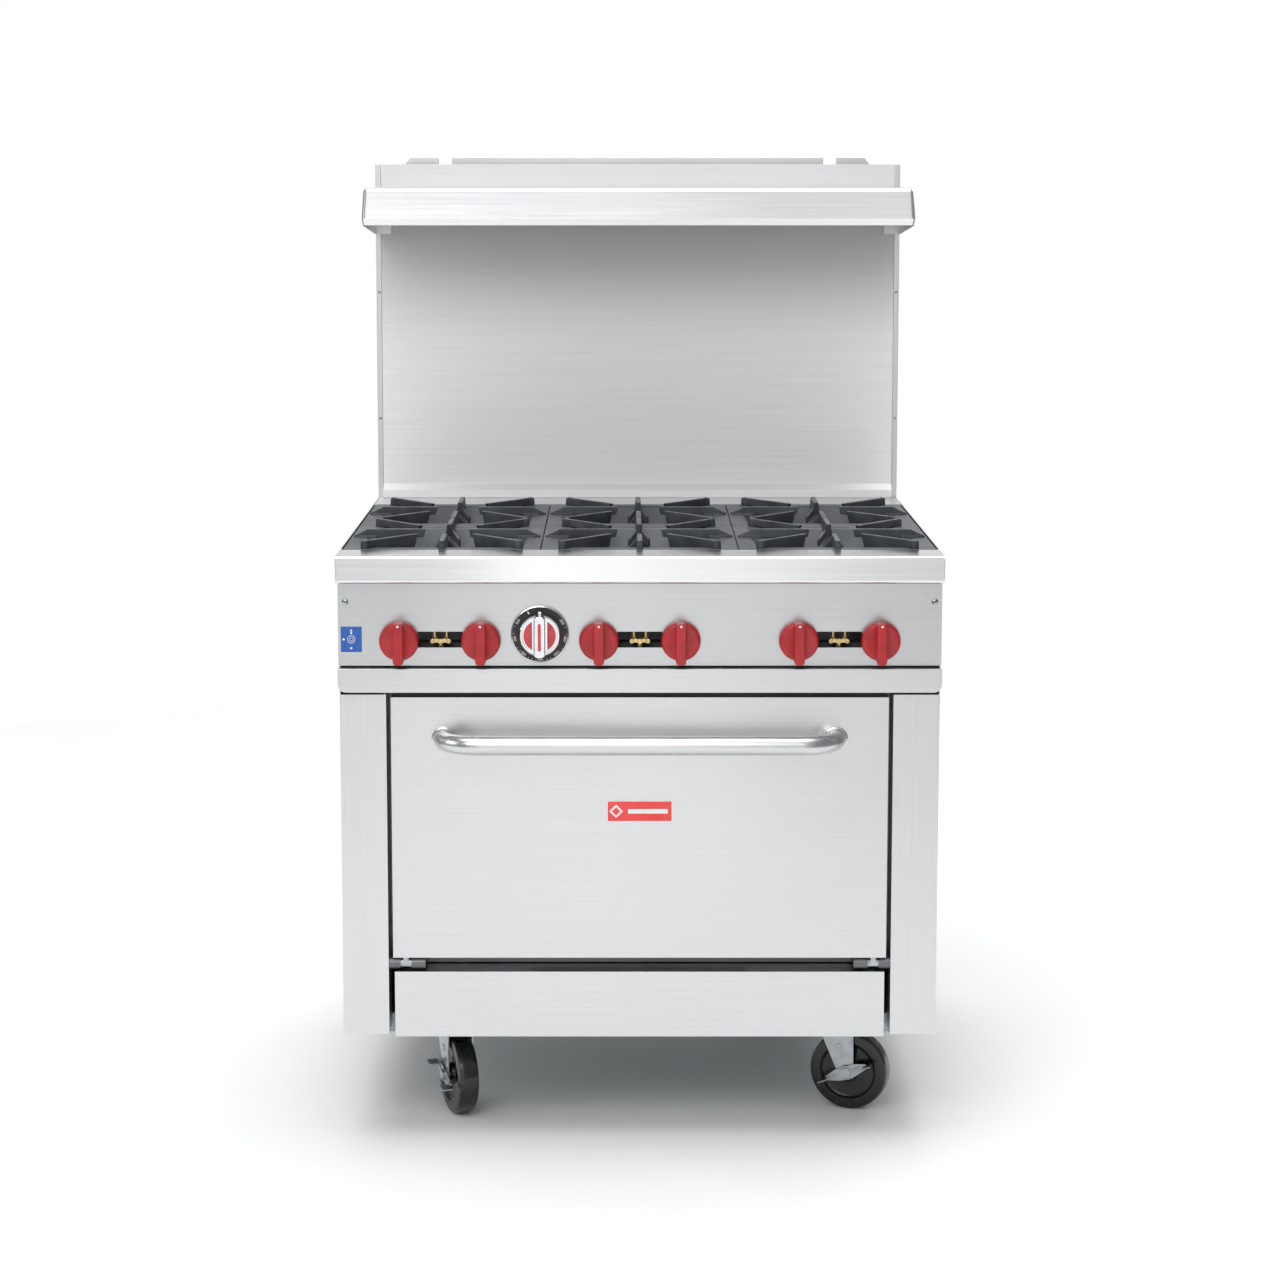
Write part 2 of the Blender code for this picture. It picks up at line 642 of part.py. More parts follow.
def build_crumb_tray():
    """Wide shallow tray whose front is the strip under the control panel."""
    corner = 0.012
    front = FRONT_Y - STRIP_PROUD
    back = FRONT_Y - 0.0005
    outline = rounded(rectangle(-HALF, STRIP_Z, HALF, STRIP_TOP), {0: corner, 1: corner})
    strip = prism([outline], "Y", front, back)
    pan_back = FRONT_Y + TRAY_DEPTH
    pan = wide_box(TRAY_HALF, (front + 0.017, TRAY_Z), (pan_back, TRAY_Z + TRAY_WALL))
    strip_hollow = wide_box(
        TRAY_HALF - SHEET, (front + SHEET, TRAY_Z + SHEET), (back + 0.0005, STRIP_TOP - SHEET)
    )
    pan_hollow = wide_box(
        TRAY_HALF - SHEET, (back - SHEET, TRAY_Z + SHEET), (pan_back - SHEET, STRIP_TOP + 0.01)
    )
    tray = combine(strip, joins=[pan], cuts=[strip_hollow, pan_hollow])
    add_part("crumb_tray", moved(tray, (0.0, -FRONT_Y, -STRIP_Z)), "stainless", (0.0, FRONT_Y, STRIP_Z))


# ---------------------------------------------------------------- knobs and dial
FACING_FRONT = (math.radians(90.0), 0.0, 0.0)         # local Z turns to -Y and local Y to Z


def build_knobs():
    """Round knobs with a raised grip bar; the shank reaches the gas valve."""
    reach = VALVE_Y - FIT - PANEL_Y
    gap = 0.0015
    skirt = KNOB_DEPTH * 0.48
    profile = [
        (0.0, skirt), (KNOB_RADIUS - 0.004, skirt), (KNOB_RADIUS - 0.0013, skirt - 0.0015),
        (KNOB_RADIUS, gap), (SHANK_RADIUS, gap), (SHANK_RADIUS, -reach), (0.0, -reach),
    ]
    grip = rounded(
        rectangle(-GRIP_HALF, -KNOB_RADIUS - GRIP_OVERHANG, GRIP_HALF, KNOB_RADIUS),
        {0: 0.005, 1: 0.005, 2: 0.007, 3: 0.007},
        2,
    )
    body = combine(turned(profile, 20), joins=[prism([grip], "Z", gap + 0.001, KNOB_DEPTH)])
    number = 0
    for column in COLUMNS:
        for side in (-1, 1):
            number += 1
            place = (column + side * KNOB_SPREAD, PANEL_Y, KNOB_Z)
            add_part(f"knob_{number}", body.copy(), "red_plastic", place, FACING_FRONT)


def build_thermostat():
    """Numbered bezel fixed to the panel and the oven's knob in front of it."""
    plate = 0.006
    bore = DIAL_SHANK_RADIUS + FIT
    rim = FIT + plate
    ring = rim - 0.0015
    bezel = [
        (bore, ring), (DIAL_RADIUS - 0.003, ring), (DIAL_RADIUS - 0.0025, rim),
        (DIAL_RADIUS - 0.001, rim), (DIAL_RADIUS, ring), (DIAL_RADIUS, FIT), (bore, FIT),
    ]
    place = (DIAL_X, PANEL_Y, DIAL_Z)
    add_part("thermostat_bezel", turned(bezel, 28, closed=True), "black_plastic", place, FACING_FRONT)

    reach = VALVE_Y - FIT - PANEL_Y
    gap = plate + 0.0015
    face = 0.022
    profile = [
        (0.0, face), (DIAL_KNOB_RADIUS - 0.003, face), (DIAL_KNOB_RADIUS - 0.0002, face - 0.003),
        (DIAL_KNOB_RADIUS, gap), (DIAL_SHANK_RADIUS, gap), (DIAL_SHANK_RADIUS, -reach), (0.0, -reach),
    ]
    grip_end = DIAL_KNOB_RADIUS - 0.0005
    grip = rounded(rectangle(-0.009, -grip_end, 0.009, grip_end), dict.fromkeys(range(4), 0.006), 2)
    bar = prism([grip], "Z", gap + 0.001, 0.038)
    nib = box((-0.003, DIAL_KNOB_RADIUS - 0.004, gap), (0.003, DIAL_KNOB_RADIUS + 0.0045, face - 0.004))
    knob = combine(turned(profile, 24), joins=[bar, nib])
    add_part("thermostat_knob", knob, "chrome", place, FACING_FRONT)


# ---------------------------------------------------------------- gas pieces
def build_manifold():
    """Gas pipe with its inlet at the back, a valve and nozzle behind each knob and the oven's valve."""
    bend = 0.030
    corner = arc((INLET_X - bend, PIPE_Y + bend), bend, -90.0, 0.0, 6)
    points = [(-INNER + FIT, PIPE_Y)] + corner + [(INLET_X, BACK_Y - FIT)]
    tube = pipe([(x, y, PIPE_Z) for x, y in points], PIPE_RADIUS, 2)
    joins = []
    for column in COLUMNS:
        for side in (-1, 1):
            x = column + side * KNOB_SPREAD
            high = (x + 0.011, PIPE_Y + 0.010, KNOB_Z + 0.012)
            joins.append(box((x - 0.011, VALVE_Y, PIPE_Z - 0.006), high))
            joins.append(rod((x, PIPE_Y, KNOB_Z + 0.002), (x, PIPE_Y + 0.030, KNOB_Z + 0.002), 0.004, 10))
    low = (DIAL_X - 0.028, VALVE_Y, PIPE_Z - 0.006)
    high = (DIAL_X + 0.028, PIPE_Y + 0.012, DIAL_Z + 0.024)
    joins.append(box(low, high))
    add_part("gas_manifold", combine(tube, joins=joins), "zinc")


def build_pilot_valves():
    """Small brass valve behind each slot, on the manifold, with two pilot tubes going up."""
    front = PANEL_Y + 0.0065
    back = VALVE_Y + 0.003
    middle = (front + back) / 2
    level = KNOB_Z + 0.001
    for number, column in enumerate(COLUMNS, start=1):
        body = box((column - 0.016, front, level - 0.006), (column + 0.016, back, level + 0.005))
        joins = []
        for side in (-1, 1):
            x = column + side * 0.009
            joins.append(rod((x, middle, level), (x, middle, level + 0.055), 0.003, 12))
        feed_z = PIPE_Z + 0.002
        feed_end = PIPE_Y - PIPE_RADIUS - FIT
        joins.append(rod((column, back - 0.002, feed_z), (column, feed_end, feed_z), 0.003, 12))
        joins.append(box((column - 0.004, back - 0.004, PIPE_Z - 0.002), (column + 0.004, back, level)))
        add_part(f"pilot_valve_{number}", combine(body, joins=joins), "brass")


def build_burners():
    """Cast burners: a head under each grate, a mixing tube to its valve and a tail on its rest."""
    crown = COOKTOP_Z - 0.023
    radius = BURNER_HEAD_RADIUS
    profile = [
        (0.0, crown), (radius - 0.012, crown), (radius, crown - 0.010), (radius, crown - 0.034),
        (0.022, crown - 0.042), (0.0, crown - 0.042),
    ]
    tube_z = KNOB_Z + 0.002
    mouth_y = PIPE_Y + 0.023
    number = 0
    for row, y in enumerate(ROWS):
        side = -1 if row == 0 else 1
        rest_y = MIDDLE_Y - 0.030 if row == 0 else DECK_Y - 0.022
        for column in COLUMNS:
            number += 1
            head = moved(turned(profile, 20), (column, y, 0.0))
            x = column + side * KNOB_SPREAD
            mixing_tube = rod((x, mouth_y, tube_z), (x, y, tube_z), 0.015, 12)
            low = (min(x, column) - 0.013, y - 0.013, tube_z - 0.012)
            high = (max(x, column) + 0.013, y + 0.013, crown - 0.038)
            tail = box(
                (column - 0.010, y, BURNER_REST_Z + FIT), (column + 0.010, rest_y, BURNER_REST_Z + 0.015)
            )
            mouth = rod((x, mouth_y - 0.01, tube_z), (x, mouth_y + 0.014, tube_z), 0.010, 8)
            burner = combine(head, joins=[box(low, high), mixing_tube, tail], cuts=[mouth])
            add_part(f"burner_{number}", burner, "cast_iron")


def build_rests():
    """Rail across the middle and deck across the back, which carry the grates and the burners' tails."""
    near = MIDDLE_Y - 0.013
    far = MIDDLE_Y + 0.013
    rail = [
        (near - 0.032, BURNER_REST_Z), (near, BURNER_REST_Z), (near, SEAT_Z),
        (far, SEAT_Z), (far, BURNER_REST_Z),
    ]
    section = bent_sheet(rail[::-1], SHEET)
    add_part("centre_rail", prism([section], "X", FIT - INNER, INNER - FIT), "galvanised")

    path = [
        (BACK_Y - SHEET - FIT, COOKTOP_Z), (DECK_Y, COOKTOP_Z),
        (DECK_Y, BURNER_REST_Z), (DECK_Y - 0.040, BURNER_REST_Z),
    ]
    deck = prism([bent_sheet(path, SHEET)], "X", FIT - INNER, INNER - FIT)
    seat = wide_box(INNER - FIT, (DECK_Y - 0.016, SEAT_Z - SHEET), (DECK_Y + SHEET / 2, SEAT_Z))
    add_part("rear_deck", combine(deck, joins=[seat]), "stainless")


# ---------------------------------------------------------------- grates
def bar(start, end, width, low_start, low_end, top_start, top_end):
    """A straight grate finger from one point to another, with its own heights at both ends."""
    start = Vector(start)
    along = Vector(end) - start
    outline = [(0.0, low_start), (along.length, low_end), (along.length, top_end), (0.0, top_start)]
    mesh = prism([outline], "Y", -width / 2, width / 2)
    mesh.transform(Matrix.Rotation(math.atan2(along.y, along.x), 4, "Z"))
    mesh.transform(Matrix.Translation((start.x, start.y, 0.0)))
    return mesh


def build_grates():
    """Square cast grates with a sunken bowl and eight fingers; each one lifts off."""
    half_x = GRATE_WIDTH / 2
    half_y = GRATE_LENGTH / 2
    corner = math.sqrt(2.0)
    squeeze = max(1.0, half_x / half_y)
    flange = GRATE_FLANGE * squeeze
    hole = GRATE_HOLE * squeeze
    floor = -BOWL_DEPTH
    wall = 0.004
    rim = half_x * corner
    inner = (half_x - flange) * corner
    bottom = (hole + 0.022) * corner
    profile = [
        (inner, 0.0), (rim, 0.0), (rim, -GRATE_RIM), (inner + wall, -GRATE_RIM), (bottom + wall, floor),
        (hole * corner, floor), (hole * corner, floor + wall), (bottom, floor + wall),
    ]
    bowl = turned(profile, 4, closed=True)
    bowl.transform(Matrix.Rotation(math.radians(45.0), 4, "Z"))
    bowl.transform(Matrix.Diagonal((1.0, half_y / half_x, 1.0, 1.0)))

    top = FINGER_RISE
    tip = 0.034
    low = top - 0.024
    joins = []
    for sx in (-1, 1):
        outside = (sx * (half_x - 0.004), 0.0)
        joins.append(bar(outside, (sx * tip, 0.0), FINGER_WIDTH, -0.006, low, 0.004, top))
        for sy in (-1, 1):
            outside = (sx * (half_x - POST_INSET_X), sy * (half_y - POST_INSET_Y))
            inside = (sx * 0.044, sy * 0.052)
            joins.append(bar(outside, inside, FINGER_WIDTH, -0.006, low, top, top))
            joins.append(moved(rod((0, 0, -0.005), (0, 0, top - 0.0005), 0.007, 8), (*outside, 0.0)))
    for sy in (-1, 1):
        joins.append(
            bar((0.0, sy * (half_y - 0.002)), (0.0, sy * (tip + 0.030)), FINGER_WIDTH, -0.006, low, top, top)
        )
        for sx in (-1, 1):
            fork = (0.0, sy * (tip + 0.034))
            joins.append(bar(fork, (sx * 0.026, sy * (tip + 0.004)), 0.007, low, low, top, top))
    grate = combine(bowl, joins=joins)
    number = 0
    for y in ROWS:
        for column in COLUMNS:
            number += 1
            add_part(f"grate_{number}", grate.copy(), "cast_iron", (column, y, COOKTOP_Z))


# ---------------------------------------------------------------- riser and shelf
def build_riser():
    """Hollow back riser, open at the top: front sheet, back sheet with tabs, two side channels."""
    flange = 0.0089
    front_half = HALF - flange - FIT
    foot = COOKTOP_Z + 0.014
    path = [
        (RISER_Y, RISER_TOP), (RISER_Y, foot + RISER_STEP),
        (RISER_Y - RISER_STEP, foot), (RISER_Y - RISER_STEP, RISER_Z),
    ]
    front = prism([bent_sheet(path, SHEET)], "X", -front_half, front_half)
    add_part("riser_front_panel", front, "stainless")

    channel = [(HALF - flange, RISER_Y), (HALF, RISER_Y), (HALF, BACK_Y)]
    side = prism([bent_sheet(channel, SHEET)], "Z", RISER_Z, RISER_TOP)
    add_part("riser_side_left", mirrored(side), "stainless")
    add_part("riser_side_right", side, "stainless")

    half = INNER - FIT
    side_tab = (0.350, 0.399)
    middle_tab = 0.327
    slope = 0.010
    top = RISER_TOP + TAB_HEIGHT
    right_half = [
        (half, RISER_Z), (half, RISER_TOP), (side_tab[1] + slope, RISER_TOP), (side_tab[1], top),
        (side_tab[0], top), (side_tab[0], RISER_TOP), (middle_tab, RISER_TOP), (middle_tab, top),
    ]
    outline = right_half + [(-x, z) for x, z in right_half[::-1]]
    back = prism([outline], "Y", BACK_Y - SHEET, BACK_Y)
    add_part("riser_back_panel", back, "stainless")


def build_shelf():
    """High shelf: an inverted pan with a flared front lip, and a bracket under each end."""
    top = RISER_TOP - SHELF_TOP_BELOW_RISER_TOP
    bottom = top - SHELF_HEIGHT
    back = RISER_Y - FIT
    lip = RISER_Y - SHELF_REACH
    outer = [(back, bottom), (back, top), (lip + 0.020, top), (lip, bottom + 0.011), (lip + 0.0025, bottom)]
    inner = [
        (back + 0.03, bottom - 0.01), (back + 0.03, top - SHEET), (lip + 0.0211, top - SHEET),
        (lip + SHEET + 0.0002, bottom + 0.011), (lip + 0.0041, bottom + SHEET),
        (lip + 0.015, bottom + SHEET), (lip + 0.015, bottom - 0.01),
    ]
    shelf = combine(prism([outer], "X", -HALF, HALF), cuts=[prism([inner], "X", -INNER, INNER)])
    add_part("shelf", shelf, "stainless")

    high = bottom - FIT
    low = bottom - 0.020
    side = [(lip + 0.012, high), (back, high), (back, low), (back - 0.027, low)]
    plate = prism([side], "X", INNER, HALF)
    foot = box((HALF - 0.027, back - SHEET, low), (HALF - SHEET / 2, back, high))
    bracket = combine(plate, joins=[foot])
    add_part("shelf_bracket_left", mirrored(bracket), "galvanised")
    add_part("shelf_bracket_right", bracket, "galvanised")


# ---------------------------------------------------------------- casters
def build_casters():
    """Swivel casters: a fork on a stem, a wheel on its axle and a brake lever on the two front ones."""
    crown = 2 * WHEEL_RADIUS + CROWN_GAP
    race = CASTER_HEIGHT - FIT
    side = rounded(
        [
            (-0.012, crown + 0.005), (CASTER_OFFSET - 0.011, AXLE_Z - 0.011),
            (CASTER_OFFSET + 0.011, AXLE_Z - 0.011), (CASTER_OFFSET + 0.010, crown + 0.005),
        ],
        {1: 0.009, 2: 0.009}, 3,
    )
    legs = prism([side], "Y", -FORK_HALF, FORK_HALF)
    inside = FORK_HALF - FORK_PLATE
    clearance = box((-0.1, -inside, 0.0), (0.2, inside, crown))
    axle_end = FORK_HALF + 0.0085
    swivel = rod((0.0, 0.0, crown + 0.001), (0.0, 0.0, race), 0.027, 20)
    stem = rod((0.0, 0.0, race - 0.004), (0.0, 0.0, race + 0.013), STEM_RADIUS, 12)
    axle = rod((CASTER_OFFSET, -axle_end, AXLE_Z), (CASTER_OFFSET, axle_end, AXLE_Z), AXLE_RADIUS, 12)
    nuts = []
    for start in (-axle_end, axle_end - 0.0048):
        nuts.append(rod((CASTER_OFFSET, start, AXLE_Z), (CASTER_OFFSET, start + 0.0048, AXLE_Z), 0.0095, 6))
    hollow_legs = combine(legs, cuts=[clearance])
    fork = combine(hollow_legs, joins=[swivel, stem, axle] + nuts)

    half = WHEEL_WIDTH / 2
    bore = AXLE_RADIUS + FIT
    upper = [
        (bore, half), (0.016, half), (0.019, half - 0.005), (0.044, half - 0.005), (0.048, half),
        (WHEEL_RADIUS - 0.005, half), (WHEEL_RADIUS, half - 0.007),
    ]
    profile = upper + [(radius, -height) for radius, height in upper[::-1]]
    wheel = turned(profile, 20, closed=True)
    wheel.transform(Matrix.Rotation(math.radians(90.0), 4, "X"))

    plate_near = -FORK_HALF - FIT
    plate_far = plate_near - FORK_PLATE
    lever_outline = rounded(rectangle(-0.036, -0.008, 0.036, 0.008), dict.fromkeys(range(4), 0.005), 2)
    lever = prism([lever_outline], "Y", plate_far, plate_near)
    wings = []
    for sign in (-1, 1):
        ends = sorted((sign * 0.030, sign * 0.047))
        wings.append(box((ends[0], plate_near - 0.019, -0.0015), (ends[1], plate_near, 0.0015)))
    bore_rod = rod((0.0, -0.1, 0.0), (0.0, 0.1, 0.0), AXLE_RADIUS + FIT, 12)
    brake = combine(lever, joins=wings, cuts=[bore_rod])

    for name, x, y, heading in CASTERS:
        turn = (0.0, 0.0, math.radians(heading))
        fork_part = add_part(f"caster_fork_{name}", fork.copy(), "zinc", (x, y, 0.0), turn)
        add_part(f"caster_wheel_{name}", wheel.copy(), "tyre", (CASTER_OFFSET, 0.0, AXLE_Z), parent=fork_part)
        if y == FRONT_STEM_Y:
            label = "left" if x < 0 else "right"
            tilt = (0.0, math.radians(15.0 if x < 0 else -22.0), 0.0)
            add_part(
                f"caster_brake_{label}", brake.copy(), "zinc", (CASTER_OFFSET, 0.0, AXLE_Z), tilt, fork_part
            )


build_base()
build_sides()
build_back()
build_kick_panel()
build_oven()
build_oven_front()
build_door()
build_ledge()
build_control_panel()
build_crumb_tray()
build_knobs()
build_thermostat()
build_manifold()
build_pilot_valves()
build_burners()
build_rests()
build_grates()
build_riser()
build_shelf()
build_casters()
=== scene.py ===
# %% [markdown]
# # A six-burner gas range
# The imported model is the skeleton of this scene: every sheet, casting and knob already stands in its place, in
# metres. This first cell loads it. Later cells give each node a finish, and swap the plainest nodes for pieces
# with rounded edges, castings and small fittings. Everything is placed from the skeleton's own boxes.

# %% Load the frame
import math

import bmesh
import bpy
from mathutils import Matrix, Vector


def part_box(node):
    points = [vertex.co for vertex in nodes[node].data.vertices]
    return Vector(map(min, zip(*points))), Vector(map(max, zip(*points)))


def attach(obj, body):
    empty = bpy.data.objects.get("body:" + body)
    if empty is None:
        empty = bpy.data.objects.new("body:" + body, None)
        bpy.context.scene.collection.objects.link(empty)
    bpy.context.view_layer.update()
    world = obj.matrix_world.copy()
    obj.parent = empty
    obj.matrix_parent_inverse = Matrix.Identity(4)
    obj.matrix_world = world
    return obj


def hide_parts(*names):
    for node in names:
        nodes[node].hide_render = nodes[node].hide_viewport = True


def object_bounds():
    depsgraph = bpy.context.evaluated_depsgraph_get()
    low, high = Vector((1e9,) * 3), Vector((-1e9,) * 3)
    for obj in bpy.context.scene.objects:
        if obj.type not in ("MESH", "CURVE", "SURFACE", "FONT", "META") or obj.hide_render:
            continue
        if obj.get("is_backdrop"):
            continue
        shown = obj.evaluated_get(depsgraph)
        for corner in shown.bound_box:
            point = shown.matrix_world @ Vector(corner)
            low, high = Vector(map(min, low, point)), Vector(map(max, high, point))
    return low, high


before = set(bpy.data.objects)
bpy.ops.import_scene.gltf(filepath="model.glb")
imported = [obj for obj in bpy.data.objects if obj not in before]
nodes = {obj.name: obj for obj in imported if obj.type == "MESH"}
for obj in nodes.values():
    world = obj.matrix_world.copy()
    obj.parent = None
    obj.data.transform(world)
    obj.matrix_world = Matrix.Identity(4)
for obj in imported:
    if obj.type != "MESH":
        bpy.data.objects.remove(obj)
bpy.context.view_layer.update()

# %% [markdown]
# ## Colours and nodes
# A material starts from the real finish. Colours are written as the hex values a paint chart would give, and one
# function turns them into the linear values that Blender mixes. A second function adds a node, sets it up and links
# it, so each material below reads from top to bottom like a recipe.


# %% Colour and node helpers
def colour(code):
    """An sRGB hex value such as "c8102e" as a linear colour."""
    parts = [int(code[start:start + 2], 16) / 255 for start in (0, 2, 4)]
    return tuple(part / 12.92 if part <= 0.04045 else ((part + 0.055) / 1.055) ** 2.4 for part in parts) + (1.0,
                                                                                                            )


def add_node(material, kind, settings=None, links=None):
    """Add a node: settings fill its sockets or its properties, links join other nodes' outputs to its sockets."""
    tree = material.node_tree
    made = tree.nodes.new(kind)
    for name, value in (settings or {}).items():
        if isinstance(name, int) or name in made.inputs:
            made.inputs[name].default_value = value
        else:
            setattr(made, name, value)
    for name, output in (links or {}).items():
        tree.links.new(output, made.inputs[name])
    return made


def new_finish(name, **sockets):
    """A material with a Principled shader whose even values are set on its own sockets."""
    material = bpy.data.materials.new(name)
    material.use_nodes = True
    shader = material.node_tree.nodes["Principled BSDF"]
    for socket, value in sockets.items():
        shader.inputs[socket.replace("_", " ")].default_value = value
    material.diffuse_color = shader.inputs["Base Color"].default_value
    return material, shader


def blend_colours(material, factor, first, second, low=0.35, high=0.65):
    """Two colours mixed by a pattern, which is stretched so that low gives the first and high the second."""
    ramp = add_node(material, "ShaderNodeValToRGB", links={"Fac": factor})
    ramp.color_ramp.elements[0].position = low
    ramp.color_ramp.elements[0].color = first
    ramp.color_ramp.elements[1].position = high
    ramp.color_ramp.elements[1].color = second
    return ramp.outputs["Color"]


def spread(material, factor, low, high):
    """A pattern from 0 to 1 stretched to run from low to high."""
    settings = {"To Min": low, "To Max": high}
    return add_node(material, "ShaderNodeMapRange", settings, {"Value": factor}).outputs["Result"]


def pattern_at(material, per_metre):
    """Object coordinates scaled to so many cells per metre along X, Y and Z."""
    place = add_node(material, "ShaderNodeTexCoord")
    links = {"Vector": place.outputs["Object"]}
    return add_node(material, "ShaderNodeMapping", {"Scale": per_metre}, links).outputs["Vector"]


def noise(material, vector, detail=3.0, roughness=0.5):
    """A soft cloud pattern."""
    settings = {"Scale": 1.0, "Detail": detail, "Roughness": roughness}
    return add_node(material, "ShaderNodeTexNoise", settings, {"Vector": vector}).outputs["Fac"]


def relief(material, shader, height, depth, strength=1.0):
    """Let a pattern push the surface in and out by a depth in metres."""
    settings = {"Distance": depth, "Strength": strength}
    bump = add_node(material, "ShaderNodeBump", settings, {"Height": height})
    material.node_tree.links.new(bump.outputs["Normal"], shader.inputs["Normal"])
    return bump


def feed(material, shader, **outputs):
    """Link patterns to the shader's sockets."""
    for socket, output in outputs.items():
        material.node_tree.links.new(output, shader.inputs[socket.replace("_", " ")])


# %% [markdown]
# ## Brushed stainless steel
# Commercial kitchen sheet is 18/8 stainless with a No. 4 finish: an abrasive belt leaves fine parallel scratches.
# Real scratches are about 0.1 mm apart, too fine to show at this distance, so they are drawn about 1.5 mm apart and
# very long. The same stretched noise changes the colour a little, the roughness and the bump, which gives
# the silky streaks. A slow cloud over it stands for handling and slight waviness of the thin sheet.


# %% Brushed steel
def brushed_steel(name, tint, along, rough=(0.24, 0.40), painted_shade_band=None, metallic=1.0):
    """Stainless sheet scratched along X ("x") or along Z ("z"). A band of painted shade may darken it between two
    heights, standing in for the shade under a shelf: its argument is (clear below, darkest here, darkened at 0.4
    strength above, its tint)."""
    material, shader = new_finish(name, Base_Color=colour(tint), Metallic=metallic, Roughness=0.3)
    scratches_per_metre = 650.0                         # one pair of scratches in about 1.5 mm
    long_way = 5.0                                      # a scratch runs about 200 mm
    scale = {"x": (long_way, scratches_per_metre, scratches_per_metre),
             "z": (scratches_per_metre, scratches_per_metre, long_way)}[along]
    streaks = noise(material, pattern_at(material, scale), detail=4.0, roughness=0.65)
    clouds = noise(material, pattern_at(material, (3.0, 3.0, 3.0)), detail=2.0)
    bright = colour(tint)
    darker = tuple(part * 0.92 for part in bright[:3]) + (1.0,)
    base = blend_colours(material, streaks, darker, bright, 0.30, 0.62)
    # painted shade: the sheet is blended towards a darker tint by height
    if painted_shade_band:
        height = add_node(material, "ShaderNodeSeparateXYZ", links={
            "Vector": add_node(material, "ShaderNodeTexCoord").outputs["Object"]}).outputs["Z"]
        settings = {"From Min": painted_shade_band[0], "From Max": painted_shade_band[1], "interpolation_type": "SMOOTHSTEP"}
        share = add_node(material, "ShaderNodeMapRange", settings, {"Value": height}).outputs["Result"]
        under = add_node(material, "ShaderNodeMath", {"operation": "LESS_THAN", 1: painted_shade_band[2]},
                         {0: height}).outputs[0]
        kept = spread(material, under, 0.4, 1.0)
        share = add_node(material, "ShaderNodeMath", {"operation": "MULTIPLY"}, {0: share, 1: kept}).outputs[0]
        base = add_node(material, "ShaderNodeMix", {"data_type": "RGBA", 7: colour(painted_shade_band[3])},
                        {0: share, 6: base}).outputs[2]
    slow = spread(material, clouds, -0.05, 0.05)
    rough_streaks = spread(material, streaks, *rough)
    uneven = add_node(material, "ShaderNodeMath", {"operation": "ADD"}, {0: rough_streaks, 1: slow}).outputs[0]
    feed(material, shader, Base_Color=base, Roughness=uneven)
    relief(material, shader, streaks, 0.00003, 0.25)
    sheet_waves = noise(material, pattern_at(material, (2.2, 2.2, 2.2)), detail=0.0)
    waves = add_node(material, "ShaderNodeBump", {"Distance": 0.012, "Strength": 1.0}, {"Height": sheet_waves})
    bump = shader.inputs["Normal"].links[0].from_node
    material.node_tree.links.new(waves.outputs["Normal"], bump.inputs["Normal"])
    return material


steel_across = brushed_steel("stainless_brushed_across", "d9dadb", "x")
steel_upright = brushed_steel("stainless_brushed_upright", "d9dadb", "z")
steel_polished = brushed_steel("stainless_polished", "d4d5d6", "x", (0.22, 0.32))
# Painted shade: a dark copy of the steel for the oven's front frame, which sits in a recess.
steel_recess_painted_shade = brushed_steel("stainless_recess_painted_shade", "77787a", "x", (0.38, 0.52))
print("brushed steels:", steel_across.name, steel_upright.name, steel_polished.name)

# %% [markdown]
# ## Galvanised sheet, cast iron and enamel
# Hidden sheet is galvanised: zinc crystals called spangle, 8 to 15 mm across, each a slightly different grey, which
# a Voronoi pattern gives. The grates are sand-cast iron under a thin grey-black porcelain coat: a grain of about
# 0.7 mm from the sand, and slow blotches where heat has dulled it. The oven is lined with speckled porcelain enamel.

# %% Galvanised sheet
galvanised, shader = new_finish("galvanised_sheet", Base_Color=colour("9aa0a3"), Metallic=1.0, Roughness=0.45)
spangle = add_node(galvanised, "ShaderNodeTexVoronoi", {"Scale": 1.0},
                   {"Vector": pattern_at(galvanised, (85.0, 85.0, 85.0))}).outputs["Color"]
crystal = add_node(galvanised, "ShaderNodeSeparateColor", links={"Color": spangle}).outputs[0]
feed(galvanised, shader, Base_Color=blend_colours(galvanised, crystal, colour("848b8f"), colour("aab0b3"), 0.0,
                                                  1.0),
     Roughness=spread(galvanised, crystal, 0.36, 0.56))

# %% Cast iron
cast_iron, shader = new_finish("cast_iron_coated", Base_Color=colour("3b3e43"), Metallic=0.25, Roughness=0.55)
grain = noise(cast_iron, pattern_at(cast_iron, (1400.0, 1400.0, 1400.0)), detail=4.0, roughness=0.6)
blotches = noise(cast_iron, pattern_at(cast_iron, (18.0, 18.0, 18.0)), detail=3.0)
feed(cast_iron, shader, Base_Color=blend_colours(cast_iron, blotches, colour("2f3236"), colour("4d5156"), 0.30,
                                                 0.70),
     Roughness=spread(cast_iron, blotches, 0.42, 0.66))
relief(cast_iron, shader, grain, 0.0003, 0.5)

# %% Flat of the grates, and the bowl under it
grate_flat, shader = new_finish("cast_iron_ground_flat", Base_Color=colour("5c5f63"), Metallic=0.3,
                                Roughness=0.45)
grain = noise(grate_flat, pattern_at(grate_flat, (1100.0, 1100.0, 1100.0)), detail=3.0)
blotches = noise(grate_flat, pattern_at(grate_flat, (14.0, 14.0, 14.0)), detail=3.0)
feed(grate_flat, shader, Base_Color=blend_colours(grate_flat, blotches, colour("505357"), colour("6a6d72"), 0.3,
                                                  0.7),
     Roughness=spread(grate_flat, grain, 0.36, 0.56))
relief(grate_flat, shader, grain, 0.0001, 0.25)
